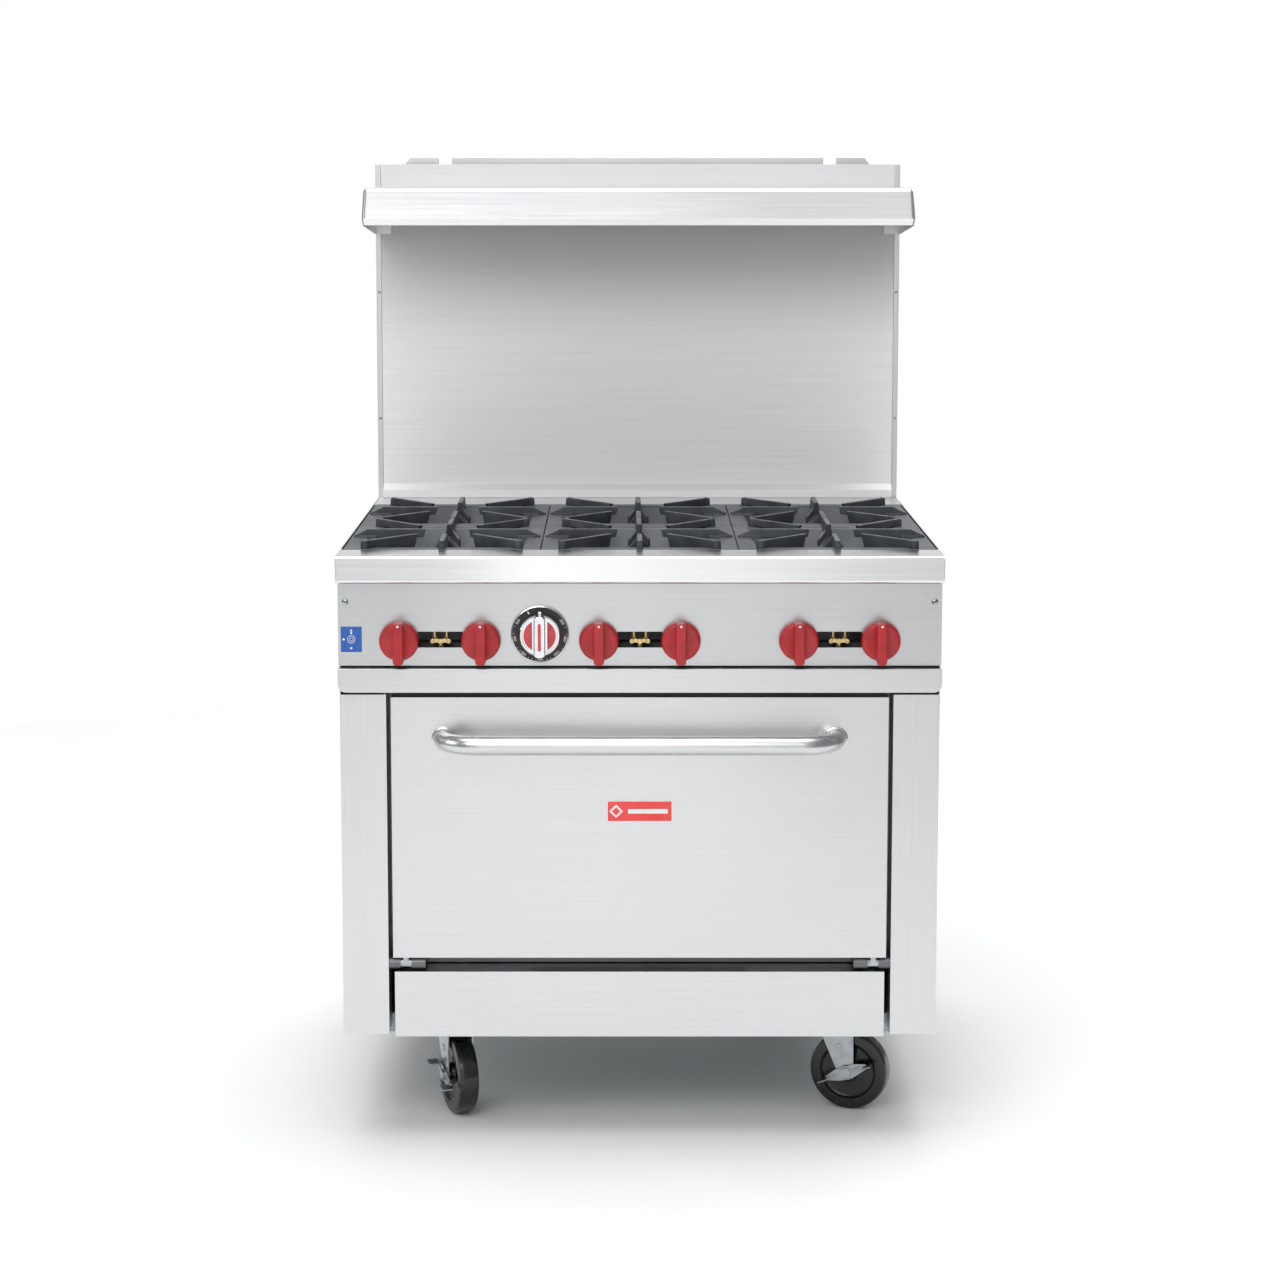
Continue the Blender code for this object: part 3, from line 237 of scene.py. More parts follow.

# %% Tops of the fingers, rubbed by pans, with a painted sheen
iron_worn_and_sheen, shader = new_finish("cast_iron_rubbed_and_painted_sheen", Base_Color=colour("6e7277"), Metallic=0.5, Roughness=0.42)
rubbed = noise(iron_worn_and_sheen, pattern_at(iron_worn_and_sheen, (55.0, 55.0, 55.0)), detail=4.0)
feed(iron_worn_and_sheen, shader, Base_Color=blend_colours(iron_worn_and_sheen, rubbed, colour("55585d"), colour("84888d"), 0.35,
                                                 0.68),
     Roughness=spread(iron_worn_and_sheen, rubbed, 0.34, 0.55))
relief(iron_worn_and_sheen, shader, rubbed, 0.0002, 0.3)

# %% Porcelain enamel
enamel, shader = new_finish("porcelain_enamel", Base_Color=colour("2a2b2e"), Roughness=0.22, Coat_Weight=0.4,
                            Coat_Roughness=0.12)
specks = noise(enamel, pattern_at(enamel, (450.0, 450.0, 450.0)), detail=2.0)
feed(enamel, shader, Base_Color=blend_colours(enamel, specks, colour("232427"), colour("5b5d61"), 0.62, 0.70),
     Roughness=spread(enamel, specks, 0.18, 0.30))

# %% [markdown]
# ## Knobs, chrome, brass, zinc and tyre
# The knobs are moulded phenolic: a glossy coat over a deep red whose shade drifts slightly. The dial's ring is
# satin black anodised plate, its knob is chrome-plated. The pilot valves are turned brass, a little tarnished. The
# caster forks are pressed steel, bright-zinc plated, and the wheels are hard black polyurethane.


# %% Smooth finishes
def drifting(name, first, second, cells, rough, **sockets):
    """A smooth finish whose colour and roughness drift between two values over 1/cells of a metre."""
    material, shader = new_finish(name, Base_Color=colour(first), Roughness=rough[0], **sockets)
    drift = noise(material, pattern_at(material, (cells, cells, cells)), detail=3.0)
    feed(material, shader, Base_Color=blend_colours(material, drift, colour(first), colour(second), 0.3, 0.7),
         Roughness=spread(material, drift, *rough))
    return material, shader


red_plastic = drifting("phenolic_red", "a00f18", "b8161f", 60.0, (0.32, 0.42), Coat_Weight=0.25,
                       Coat_Roughness=0.2)[0]
inlay_red = drifting("enamel_inlay_red", "c23a44", "cf4b52", 90.0, (0.28, 0.38))[0]
chrome = drifting("chrome_plate", "cfd0d2", "dcdddf", 40.0, (0.10, 0.18), Metallic=1.0)[0]
dial_black = drifting("anodised_black", "17181a", "212224", 120.0, (0.34, 0.46))[0]
# Painted shade: near-black for the inside of screw slots.
slot_painted_shade = drifting("shadow_black", "0d0d0e", "161617", 50.0, (0.6, 0.8))[0]
# Black iron pipe; its black also paints the shade in the slot behind the panel.
pipe_black_and_painted_shade = drifting("black_iron_pipe_and_painted_shade", "1b1c1d", "27282a", 60.0, (0.45, 0.6))[0]
print_white = drifting("screen_print_white", "e9e9e6", "f4f4f2", 200.0, (0.45, 0.55))[0]
label_blue = drifting("vinyl_blue", "2457a8", "2f66bb", 80.0, (0.30, 0.42))[0]
badge_red = drifting("vitreous_enamel_red", "e8262c", "f03a3a", 40.0, (0.18, 0.26), Coat_Weight=0.6)[0]

brass, shader = drifting("brass_turned", "cdb478", "e6d49c", 160.0, (0.22, 0.40), Metallic=1.0)
lathe = noise(brass, pattern_at(brass, (300.0, 300.0, 1800.0)), detail=2.0)
relief(brass, shader, lathe, 0.00003, 0.4)

zinc, shader = drifting("zinc_plate_bright", "a3a8ac", "bfc3c6", 70.0, (0.26, 0.42), Metallic=1.0)
rolled = noise(zinc, pattern_at(zinc, (900.0, 900.0, 900.0)), detail=2.0)
relief(zinc, shader, rolled, 0.00004, 0.3)

tyre, shader = drifting("polyurethane_black", "08080a", "111114", 35.0, (0.20, 0.34), Coat_Weight=0.25,
                        Coat_Roughness=0.12)
dust = noise(tyre, pattern_at(tyre, (700.0, 700.0, 700.0)), detail=3.0)
relief(tyre, shader, dust, 0.0001, 0.25)
print("finishes:", len(bpy.data.materials))

# %% [markdown]
# ## Dressing the skeleton
# A node whose shape is already right keeps its mesh, and only its material slots change. The table says which
# finish each node wears. Names that end in a number are matched by their beginning.

# %% A finish for every node
WEARS = {
    "base_frame": galvanised, "side_panel": steel_upright, "rear_panel": galvanised, "kick_panel": steel_across,
    "oven_liner": enamel, "oven_rack": chrome, "oven_burner": cast_iron, "oven_front_frame": steel_recess_painted_shade,
    "centre_rail": steel_across, "rear_deck": steel_across, "front_ledge": steel_across,
    "control_panel": steel_across, "crumb_tray": steel_across, "riser_front_panel": steel_across,
    "riser_back_panel": steel_across, "riser_side": steel_upright, "shelf": steel_across,
    "shelf_bracket": steel_across, "gas_manifold": pipe_black_and_painted_shade, "pilot_valve": brass, "burner": cast_iron,
    "grate": cast_iron, "knob": red_plastic, "thermostat_knob": chrome, "thermostat_bezel": dial_black,
    "door_outer_panel": steel_across, "door_inner_panel": enamel, "door_handle": steel_polished,
    "door_hinge": zinc, "caster_fork": zinc, "caster_wheel": tyre, "caster_brake": zinc,
}
for name, node in nodes.items():
    kind = max((start for start in WEARS if name.startswith(start)), key=len)
    for place in range(len(node.material_slots)):
        node.material_slots[place].material = WEARS[kind]
    if not node.material_slots:
        node.data.materials.append(WEARS[kind])
print("dressed:", len(nodes), "nodes with", len(set(WEARS.values())), "finishes")

# %% [markdown]
# ## Shape helpers
# Each new piece is built in a bmesh from a few operators. A cube, a cone or a grid is created, then bevelled, inset,
# extruded or spun. Small shapes are made on their own and joined into one piece, each with its material slot, so a
# casting or a knob stays one object. The last helper welds the piece, turns its faces outwards and puts it in place.


# %% Helpers that make one shape
def rounded_block(low, high, radius=0.0, segments=2):
    """A block between two corners, its edges rounded."""
    shape = bmesh.new()
    bmesh.ops.create_cube(shape, size=1.0)
    low, high = Vector(low), Vector(high)
    bmesh.ops.scale(shape, vec=high - low, verts=shape.verts)
    bmesh.ops.translate(shape, vec=(low + high) / 2, verts=shape.verts)
    soften(shape, shape.edges, radius, segments)
    return shape


def soften(shape, edges, radius, segments=2):
    """Round some edges of a shape."""
    if radius:
        bmesh.ops.bevel(shape, geom=list(edges), offset=radius, offset_type="OFFSET", segments=segments,
                        profile=0.5,
                        affect="EDGES", material=-1, clamp_overlap=True)


def rounded_rod(start, end, radius, edge=0.0, sides=24, end_radius=None):
    """A round bar from one point to another with its two rims rounded."""
    start, end = Vector(start), Vector(end)
    along = end - start
    shape = bmesh.new()
    bmesh.ops.create_cone(shape, cap_ends=True, segments=sides, radius1=radius,
                          radius2=radius if end_radius is None else end_radius, depth=along.length)
    rims = [side for side in shape.edges if abs(side.verts[0].co.z - side.verts[1].co.z) < 1e-9]
    soften(shape, rims, edge)
    turn = along.to_track_quat("Z", "Y").to_matrix().to_4x4()
    bmesh.ops.transform(shape, matrix=Matrix.Translation(start + along / 2) @ turn, verts=shape.verts)
    return shape


def spun(profile, steps=48, closed=False):
    """A profile of (radius, height) spun a full turn about Z."""
    shape = bmesh.new()
    points = [shape.verts.new((radius, 0.0, height)) for radius, height in profile]
    lines = [shape.edges.new(pair) for pair in zip(points, points[1:])]
    if closed:
        lines.append(shape.edges.new((points[-1], points[0])))
    bmesh.ops.spin(shape, geom=points + lines, cent=(0.0, 0.0, 0.0), axis=(0.0, 0.0, 1.0), angle=math.tau,
                   steps=steps, use_merge=True)
    bmesh.ops.remove_doubles(shape, verts=shape.verts, dist=1e-6)
    return shape


def points_in(geometry):
    """The vertices among what an operator made."""
    return [item for item in geometry if isinstance(item, bmesh.types.BMVert)]


def folded_sheet(path, start, end, thickness, bend, segments=4):
    """Sheet folded along a path of (y, z) corners, as wide as from start to end along X."""
    shape = bmesh.new()
    points = [shape.verts.new((start, y, z)) for y, z in path]
    lines = [shape.edges.new(pair) for pair in zip(points, points[1:])]
    drawn = bmesh.ops.extrude_edge_only(shape, edges=lines)["geom"]
    bmesh.ops.translate(shape, vec=(end - start, 0.0, 0.0), verts=points_in(drawn))
    folds = [edge for edge in shape.edges if len(edge.link_faces) == 2]
    soften(shape, folds, bend, segments)
    bmesh.ops.recalc_face_normals(shape, faces=shape.faces)
    bmesh.ops.solidify(shape, geom=list(shape.faces), thickness=thickness)
    return shape


def plate(outline, low, high, axis="Y", edge=0.0, segments=2):
    """A flat outline of two coordinates drawn out along X, Y or Z, with its face edges rounded."""
    places = {"X": lambda a, b, c: (c, a, b), "Y": lambda a, b, c: (a, c, b), "Z": lambda a, b,
              c: (a, b, c)}[axis]
    shape = bmesh.new()
    shape.faces.new([shape.verts.new(places(a, b, low)) for a, b in outline])
    drawn = bmesh.ops.extrude_face_region(shape, geom=list(shape.faces))["geom"]
    bmesh.ops.translate(shape, vec=places(0.0, 0.0, high - low), verts=points_in(drawn))
    rim = [line for line in shape.edges if any(len(face.verts) == len(outline) for face in line.link_faces)]
    soften(shape, rim, edge, segments)
    return shape


def round_corners(corners, radius, steps=5):
    """The outline of a convex polygon with each corner turned into an arc."""
    outline = []
    for index, place in enumerate(corners):
        corner = Vector(place)
        before = (Vector(corners[index - 1]) - corner).normalized()
        after = (Vector(corners[(index + 1) % len(corners)]) - corner).normalized()
        reach = radius / math.tan(before.angle(after) / 2)
        centre = corner + (before + after).normalized() * radius / math.sin(before.angle(after) / 2)
        first = (corner + before * reach - centre).normalized()
        last = (corner + after * reach - centre).normalized()
        outline += [centre + first.slerp(last, step / steps) * radius for step in range(steps + 1)]
    return outline


# %% Helpers that gather shapes into a piece
def join(work, shape, matrix=None, slot=0):
    """Put one shape into the work, moved by a matrix, its faces on one material slot."""
    holder = bpy.data.meshes.new("joined")
    shape.to_mesh(holder)
    shape.free()
    if matrix is not None:
        holder.transform(matrix)
    before = len(work.faces)
    work.from_mesh(holder)
    work.faces.ensure_lookup_table()
    for face in work.faces[before:]:
        face.material_index = slot
    bpy.data.meshes.remove(holder)


def finish_piece(name, work, finishes, body="range", replaces=(), matrix=None, sharp=35.0):
    """Weld the work, turn its faces outwards, put it in place and let it ride on a body."""
    bmesh.ops.remove_doubles(work, verts=work.verts, dist=1e-6)
    if matrix is not None:
        bmesh.ops.transform(work, matrix=matrix, verts=work.verts)
    bmesh.ops.recalc_face_normals(work, faces=work.faces)
    mesh = bpy.data.meshes.new(name)
    work.to_mesh(mesh)
    work.free()
    for finish in finishes:
        mesh.materials.append(finish)
    mesh.shade_smooth()
    mesh.set_sharp_from_angle(angle=math.radians(sharp))
    piece = bpy.data.objects.new(name, mesh)
    bpy.context.scene.collection.objects.link(piece)
    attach(piece, body)
    even = piece.modifiers.new("even_normals", "WEIGHTED_NORMAL")
    even.keep_sharp = True
    if replaces:
        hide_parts(*replaces)
    triangles = sum(len(face.vertices) - 2 for face in mesh.polygons)
    print(f"{name}: {triangles} triangles")
    return piece


# %% [markdown]
# ## Cast grates
# Each burner has a loose cast-iron grate: a flat square flange, a shallow bowl under it that keeps spills near the
# flame, and eight fingers that carry the pot. A casting has no sharp edge, so everything is rounded by about 2 mm.
# The bowl starts as one square face: every inset makes the next ring, and moving the middle down makes the wall.
# The fingers are blocks whose ends have their own heights, narrower at the top so they leave the sand mould.

# %% Measure the grates
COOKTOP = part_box("front_ledge")[1].z
grate_low, grate_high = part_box("grate_1")
half_x = (grate_high.x - grate_low.x) / 2
half_y = (grate_high.y - grate_low.y) / 2
FINGER_TOP = grate_high.z - COOKTOP
RIM_DROP = 0.010
BOWL_DROP = 0.040
CASTING = 0.0045                                        # thickness of the cast wall
CASTING_EDGE = 0.0018
POST_X = 0.1175                                         # the corner fingers' posts
POST_INSET = 0.0105
TIP = (0.044, 0.052)                                    # where the corner fingers end
print("grate in mm:", round(half_x * 2000, 1), round(half_y * 2000, 1), "fingers rise",
      round(FINGER_TOP * 1000, 1))


# %% The flange and the bowl
def grate_shell():
    """A flat flange round a sunken bowl, 4.5 mm thick."""
    shell = bmesh.new()
    bmesh.ops.create_grid(shell, x_segments=1, y_segments=1, size=1.0)
    bmesh.ops.scale(shell, vec=(half_x, half_y, 1.0), verts=shell.verts)
    shell.faces.ensure_lookup_table()
    middle = shell.faces[0]
    for inward, drop in ((0.026, 0.0), (0.024, -BOWL_DROP), (0.020, -0.004)):
        bmesh.ops.inset_individual(shell, faces=[middle], thickness=inward, use_even_offset=True)
        bmesh.ops.translate(shell, vec=(0.0, 0.0, drop), verts=middle.verts)
    bmesh.ops.delete(shell, geom=[middle], context="FACES")
    wall_corners = [edge for edge in shell.edges if abs(edge.verts[0].co.z - edge.verts[1].co.z) > BOWL_DROP / 2]
    soften(shell, wall_corners, 0.020, 5)
    mouth = [edge for edge in shell.edges if len(edge.link_faces) == 2
             and all(vert.co.z > -1e-6 for vert in edge.verts)
             and edge.calc_face_angle() > 0.3]
    soften(shell, mouth, 0.004, 3)
    rim = [edge for edge in shell.edges if edge.is_boundary and edge.verts[0].co.z > -1e-6]
    skirt = bmesh.ops.extrude_edge_only(shell, edges=rim)["geom"]
    bmesh.ops.translate(shell, vec=(0.0, 0.0, -RIM_DROP), verts=points_in(skirt))
    soften(shell, [edge for edge in rim if edge.is_valid], 0.0015, 2)
    bmesh.ops.recalc_face_normals(shell, faces=shell.faces)
    widest = max(shell.faces, key=lambda face: face.calc_area() * abs(face.normal.z))
    if widest.normal.z < 0:
        bmesh.ops.reverse_faces(shell, faces=shell.faces)
    bmesh.ops.solidify(shell, geom=list(shell.faces), thickness=CASTING)
    return shell


# %% One finger
def finger(start, end, width, low, high, undercut=0.0):
    """A finger between two points: low and high give its underside and its top at the start and at the end, and the
    undercut slants its tip."""
    start, end = Vector((*start, 0.0)), Vector((*end, 0.0))
    along = end - start
    shape = bmesh.new()
    bmesh.ops.create_cube(shape, size=1.0)
    for vert in shape.verts:
        far = vert.co.x > 0
        top = vert.co.z > 0
        side = math.copysign(width / 2 * (0.74 if top else 1.0), vert.co.y)
        reach = along.length - (0.0 if top else undercut)
        vert.co = (reach if far else 0.0, side, (high if top else low)[int(far)])
    soften(shape, shape.edges, CASTING_EDGE, 2)
    turn = Matrix.Translation(start) @ Matrix.Rotation(math.atan2(along.y, along.x), 4, "Z")
    bmesh.ops.transform(shape, matrix=turn, verts=shape.verts)
    return shape


# %% A whole grate
def cast_grate():
    """The shell with four corner fingers on posts, two side bars on pads and two forked middle bars."""
    work = bmesh.new()
    join(work, grate_shell(), slot=0)
    top = FINGER_TOP - 0.0003
    for sx in (-1, 1):
        pad = [(sx * (half_x - 0.003), 0.0), (sx * (half_x - 0.014), 0.011), (sx * (half_x - 0.040), 0.011),
               (sx * (half_x - 0.040), -0.011), (sx * (half_x - 0.014), -0.011)]
        join(work, plate(pad, -0.001, 0.003, "Z"), slot=0)
        ramp_end = half_x - 0.026
        join(work, finger((sx * (half_x - 0.004), 0.0), (sx * ramp_end, 0.0), 0.010, (-0.002, -0.002),
                          (0.003, top)), slot=1)
        join(work, finger((sx * (ramp_end + 0.002), 0.0), (sx * 0.034, 0.0), 0.010, (-0.002, top - 0.013),
                          (top, top), 0.003), slot=1)
        for sy in (-1, 1):
            post = (sx * POST_X, sy * (half_y - POST_INSET))
            tip = (sx * TIP[0], sy * TIP[1])
            web = top - 0.024 if sy < 0 else top - 0.016
            join(work, finger(post, tip, 0.0095, (0.001, web), (top - 0.0008, top - 0.0008), 0.010), slot=1)
            join(work, rounded_rod((*post, -0.003), (*post, top), 0.0072, 0.0035, 20, 0.0062), slot=1)
    for sy in (-1, 1):
        outer, inner = sy * (half_y - 0.002), sy * 0.058
        join(work, finger((0.0, outer), (0.0, inner), 0.011, (-0.003, top - 0.020), (top, top)), slot=1)
        for sx in (-1, 1):
            join(work, finger((sx * 0.002, sy * 0.064), (sx * 0.017, sy * 0.054), 0.0065,
                              (top - 0.018, top - 0.036), (top - 0.005, top - 0.024)), slot=1)
    work.normal_update()
    # upward faces of the fingers take the rubbed iron: wear from pans, whose lighter colour also paints the sheen on
    # the tops
    for face in work.faces:
        if face.material_index == 1 and face.normal.z > 0.6:
            face.material_index = 2
    return work


for number in range(1, 7):
    low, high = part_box(f"grate_{number}")
    place = Matrix.Translation(((low.x + high.x) / 2, (low.y + high.y) / 2, COOKTOP))
    finish_piece(f"cast_grate_{number}", cast_grate(), [grate_flat, cast_iron, iron_worn_and_sheen], f"grate_{number}",
                 [f"grate_{number}"], place, sharp=40.0)

# %% [markdown]
# ## Burner heads
# Under each grate sits a round cast head with a ring of small ports. Spinning a profile gives the head. Every second
# face of its wall is then inset and pushed inwards, which makes the ports without a single boolean cut.


# %% Burner heads
def burner_head():
    """A domed cap over a wall of 32 ports."""
    radius, crown = 0.0475, -0.0215
    profile = [(0.0, crown), (0.030, crown - 0.001), (radius - 0.009, crown - 0.004),
               (radius - 0.003, crown - 0.009),
               (radius, crown - 0.013), (radius, crown - 0.024), (radius - 0.004, crown - 0.030),
               (0.030, crown - 0.036)]
    head = spun(profile, 64)
    wall = sorted((face for face in head.faces if abs(face.normal.z) < 0.01),
                  key=lambda face: math.atan2(face.calc_center_median().y, face.calc_center_median().x))
    for face in wall[::2]:
        inward = -face.calc_center_median().normalized()
        bmesh.ops.inset_individual(head, faces=[face], thickness=0.0011, use_even_offset=True)
        bmesh.ops.translate(head, vec=Vector((inward.x, inward.y, 0.0)) * 0.004, verts=face.verts)
    return head


for number in range(1, 7):
    low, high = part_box(f"grate_{number}")
    work = bmesh.new()
    join(work, burner_head())
    place = Matrix.Translation(((low.x + high.x) / 2, (low.y + high.y) / 2, COOKTOP))
    finish_piece(f"burner_cap_{number}", work, [cast_iron], "range", (), place)

# %% [markdown]
# ## Burner knobs
# Each burner knob is one phenolic moulding: a round skirt and a grip bar that stands proud of it and runs a little past
# its lower edge. The skirt is a spun profile, so its shoulder is truly round. The bar is an outline with arcs for
# corners, drawn outwards and softened. A small white dot at the top of the bar marks the off position. Pieces that face
# the cook are modelled lying down, with Z as "outwards", and one quarter turn stands them up on the panel.

# %% Burner knobs
STAND_UP = Matrix.Rotation(math.radians(90.0), 4, "X")
PANEL_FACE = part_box("control_panel")[0].y


def grip_outline(half_width, low, high, corner):
    """A long rounded rectangle standing upright."""
    return round_corners([(-half_width, low), (half_width, low), (half_width, high), (-half_width, high)],
                         corner)


def burner_knob(radius, depth):
    """Skirt, grip bar and pointer dot; Z is outwards and Y is up."""
    work = bmesh.new()
    skirt = depth * 0.48
    profile = [(0.0, skirt - 0.0012), (radius * 0.55, skirt - 0.001), (radius - 0.006, skirt),
               (radius - 0.0035, skirt - 0.0004),
               (radius - 0.0012, skirt - 0.0022), (radius - 0.0002, skirt - 0.005), (radius, 0.0045),
               (radius - 0.0008, 0.0018),
               (0.012, 0.0015), (0.012, 0.001), (0.0, 0.001)]
    join(work, spun(profile, 72), slot=0)
    bar = plate(grip_outline(0.0086, -radius - 0.0034, radius - 0.0002, 0.0055), 0.003, depth, "Z", 0.0018, 3)
    for vert in bar.verts:
        if vert.co.z > depth / 2:
            vert.co.x *= 0.90
    join(work, bar, slot=0)
    dot = radius - 0.0042
    join(work, rounded_rod((0.0, dot, depth - 0.001), (0.0, dot, depth + 0.0004), 0.0018, 0.0003, 20), slot=1)
    return work


for number in range(1, 7):
    low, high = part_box(f"knob_{number}")
    radius = (high.x - low.x) / 2
    place = Matrix.Translation(((low.x + high.x) / 2, PANEL_FACE, high.z - radius)) @ STAND_UP
    finish_piece(f"burner_knob_{number}", burner_knob(radius, PANEL_FACE - low.y - 0.0004),
                 [red_plastic, print_white],
                 f"knob_{number}", [f"knob_{number}"], place)

# %% [markdown]
# ## Oven dial
# The oven is set with a chrome knob in front of a black plate printed with generic temperatures. The plate has a thin
# chrome rim. Digits come from text turned into a mesh, each laid on the plate and turned to its angle. The knob has a
# grip bar with a red enamel line and two red D-shaped fields beside it, and a small nib that points at the numbers.

# %% Dial plate
low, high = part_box("thermostat_bezel")
DIAL_AT = Matrix.Translation(((low.x + high.x) / 2, PANEL_FACE, (low.z + high.z) / 2)) @ STAND_UP
dial_radius = (high.x - low.x) / 2
plate_top = PANEL_FACE - low.y
work = bmesh.new()
ring = [(0.0105, 0.0004), (0.0105, plate_top - 0.0016), (dial_radius - 0.0028, plate_top - 0.0016),
        (dial_radius - 0.0028, 0.0004)]
join(work, spun(ring, 96, closed=True), slot=0)
rim = [(dial_radius - 0.0026, 0.0004), (dial_radius - 0.0026, plate_top - 0.0006),
       (dial_radius - 0.0019, plate_top),
       (dial_radius - 0.0009, plate_top - 0.0004), (dial_radius, plate_top - 0.002), (dial_radius, 0.0004)]
join(work, spun(rim, 96, closed=True), slot=1)
finish_piece("dial_plate", work, [dial_black, chrome], "range", ["thermostat_bezel"], DIAL_AT)


# %% Printed temperatures
PRINT_THICKNESS = 0.0001


def printed(text, size, lift):
    """Text as a thin mesh centred on the origin, its face up."""
    letters = bpy.data.curves.new("printed", "FONT")
    letters.body = text
    letters.size = size
    letters.extrude = PRINT_THICKNESS
    letters.align_x = "CENTER"
    letters.align_y = "CENTER"
    letters.resolution_u = 2
    holder = bpy.data.objects.new("printed", letters)
    bpy.context.scene.collection.objects.link(holder)
    bpy.context.view_layer.update()
    flat = bpy.data.meshes.new_from_object(holder.evaluated_get(bpy.context.evaluated_depsgraph_get()))
    bpy.data.objects.remove(holder, do_unlink=True)
    shape = bmesh.new()
    shape.from_mesh(flat)
    bmesh.ops.translate(shape, vec=(0.0, 0.0, lift), verts=shape.verts)
    bpy.data.meshes.remove(flat)
    return shape


work = bmesh.new()
face = plate_top - 0.0016
temperatures = ["250", "300", "350", "400", "450", "500", "550"]
for step, text in enumerate(temperatures):
    angle = math.radians(-60.0 - 40.0 * step)
    turn = Matrix.Rotation(angle, 4, "Z")
    join(work, printed(text, 0.0056, face), turn @ Matrix.Translation((0.0, 0.0382, 0.0)))
for step in range(33):
    if step % 4 != 0:
        turn = Matrix.Rotation(math.radians(-50.0 - 8.2 * step), 4, "Z")
        tall = 0.0016 if step % 2 else 0.0026
        join(work, rounded_block((-0.0003, 0.0405 - tall, face - 0.0001), (0.0003, 0.0405, face + 0.0001)),
             turn)
arrow = plate([(-0.0016, 0.0352), (0.0016, 0.0352), (0.0, 0.0405)], face - 0.0001, face + 0.0001, "Z")
join(work, arrow, Matrix.Rotation(math.radians(28.0), 4, "Z"))
finish_piece("dial_numbers", work, [print_white], "range", (), DIAL_AT)


# %% Dial knob
def half_disc(radius, flat):
    """The outline of a D: an arc closed by an upright line at x = flat."""
    steps = 16
    limit = math.acos(flat / radius)
    angles = [-limit + 2 * limit * step / steps for step in range(steps + 1)]
    return [(radius * math.cos(angle), radius * math.sin(angle)) for angle in angles]


low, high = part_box("thermostat_knob")
knob_radius = (high.x - low.x) / 2
depth = PANEL_FACE - low.y
skirt = 0.022
work = bmesh.new()
profile = [(0.0, skirt - 0.0015), (knob_radius - 0.0055, skirt - 0.0015), (knob_radius - 0.005, skirt),
           (knob_radius - 0.0025, skirt),
           (knob_radius - 0.0006, skirt - 0.002), (knob_radius, plate_top + 0.004),
           (knob_radius, plate_top + 0.0015),
           (0.0, plate_top + 0.0015)]
join(work, spun(profile, 72), slot=0)
bar = plate(grip_outline(0.0086, -knob_radius + 0.0006, knob_radius - 0.0006, 0.006), plate_top + 0.003,
            depth - 0.0002, "Z", 0.0016, 3)
join(work, bar, slot=0)
join(work, rounded_block((-0.0028, knob_radius - 0.004, plate_top + 0.0016),
                         (0.0028, knob_radius + 0.0043, skirt - 0.004), 0.0009), slot=0)
for side in (0.0, math.pi):
    field = plate(half_disc(knob_radius - 0.0075, 0.0115), skirt - 0.003, skirt - 0.0008, "Z", 0.0006, 2)
    join(work, field, Matrix.Rotation(side, 4, "Z"), slot=1)
line = plate(grip_outline(0.0024, -0.021, 0.021, 0.0023), depth - 0.002, depth - 0.0001, "Z")
join(work, line, slot=1)
finish_piece("dial_knob", work, [chrome, inlay_red], "thermostat_knob", ["thermostat_knob"], DIAL_AT)

# %% [markdown]
# ## Pilot valves, screws, label and badge
# Between each pair of knobs a slot shows a small brass valve that trims the pilot flames: a bar with a hexagon in the
# middle, a round adjusting screw on each side, two tubes going up to the burners and a spigot below. A slotted screw is
# a spun dome with a groove, here a thin dark block let into it that paints the shade inside the slot. The label and the
# badge stay plain, with simple shapes instead of any print.


# %% Pilot valves
def pilot_valve(front, back):
    """The brass bar with its hexagon, screws, tubes and spigot; Z is up, -Y is outwards."""
    work = bmesh.new()
    middle = (front + back) / 2
    join(work, rounded_block((-0.0135, front + 0.003, -0.0068), (0.0135, back, -0.0002), 0.0012, 3))
    join(work, rounded_rod((0.0, front + 0.004, -0.004), (0.0, front + 0.0006, -0.004), 0.0044, 0.0007, 6))
    join(work, rounded_rod((0.0, front + 0.001, -0.004), (0.0, front, -0.004), 0.0020, 0.0004, 16))
    join(work, rounded_rod((0.0, middle, -0.0045), (0.0, middle, -0.0115), 0.0034, 0.0008, 18))
    for side in (-1, 1):
        x = side * 0.0092
        screw = side * 0.0122
        join(work, rounded_rod((screw, front + 0.005, -0.0035), (screw, front + 0.0004, -0.0035), 0.0036,
                               0.0007, 20))
        # the screw's slot is a dark block: painted shade
        join(work, rounded_block((screw - 0.0026, front, -0.0038), (screw + 0.0026, front + 0.001, -0.0032)),
             slot=1)
        join(work, rounded_rod((x, middle, -0.001), (x, middle, 0.0032), 0.0038, 0.0006, 6))
        join(work, rounded_rod((x, middle, 0.002), (x, middle, 0.0548), 0.0027, 0.0004, 16))
    return work


for number in range(1, 4):
    low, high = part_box(f"pilot_valve_{number}")
    level = high.z - 0.055
    front = low.y
    back = low.y + 0.010
    place = Matrix.Translation(((low.x + high.x) / 2, 0.0, level))
    work = pilot_valve(front, back)
    join(work, rounded_rod((0.0, high.y - 0.0105, -0.012), (0.0, high.y - 0.0003, -0.012), 0.003, 0.0, 14))
    join(work, rounded_block((-0.0038, back - 0.004, -0.0165), (0.0038, back + 0.001, 0.0), 0.0006))
    finish_piece(f"pilot_fitting_{number}", work, [brass, slot_painted_shade], "range", [f"pilot_valve_{number}"],
                 place)


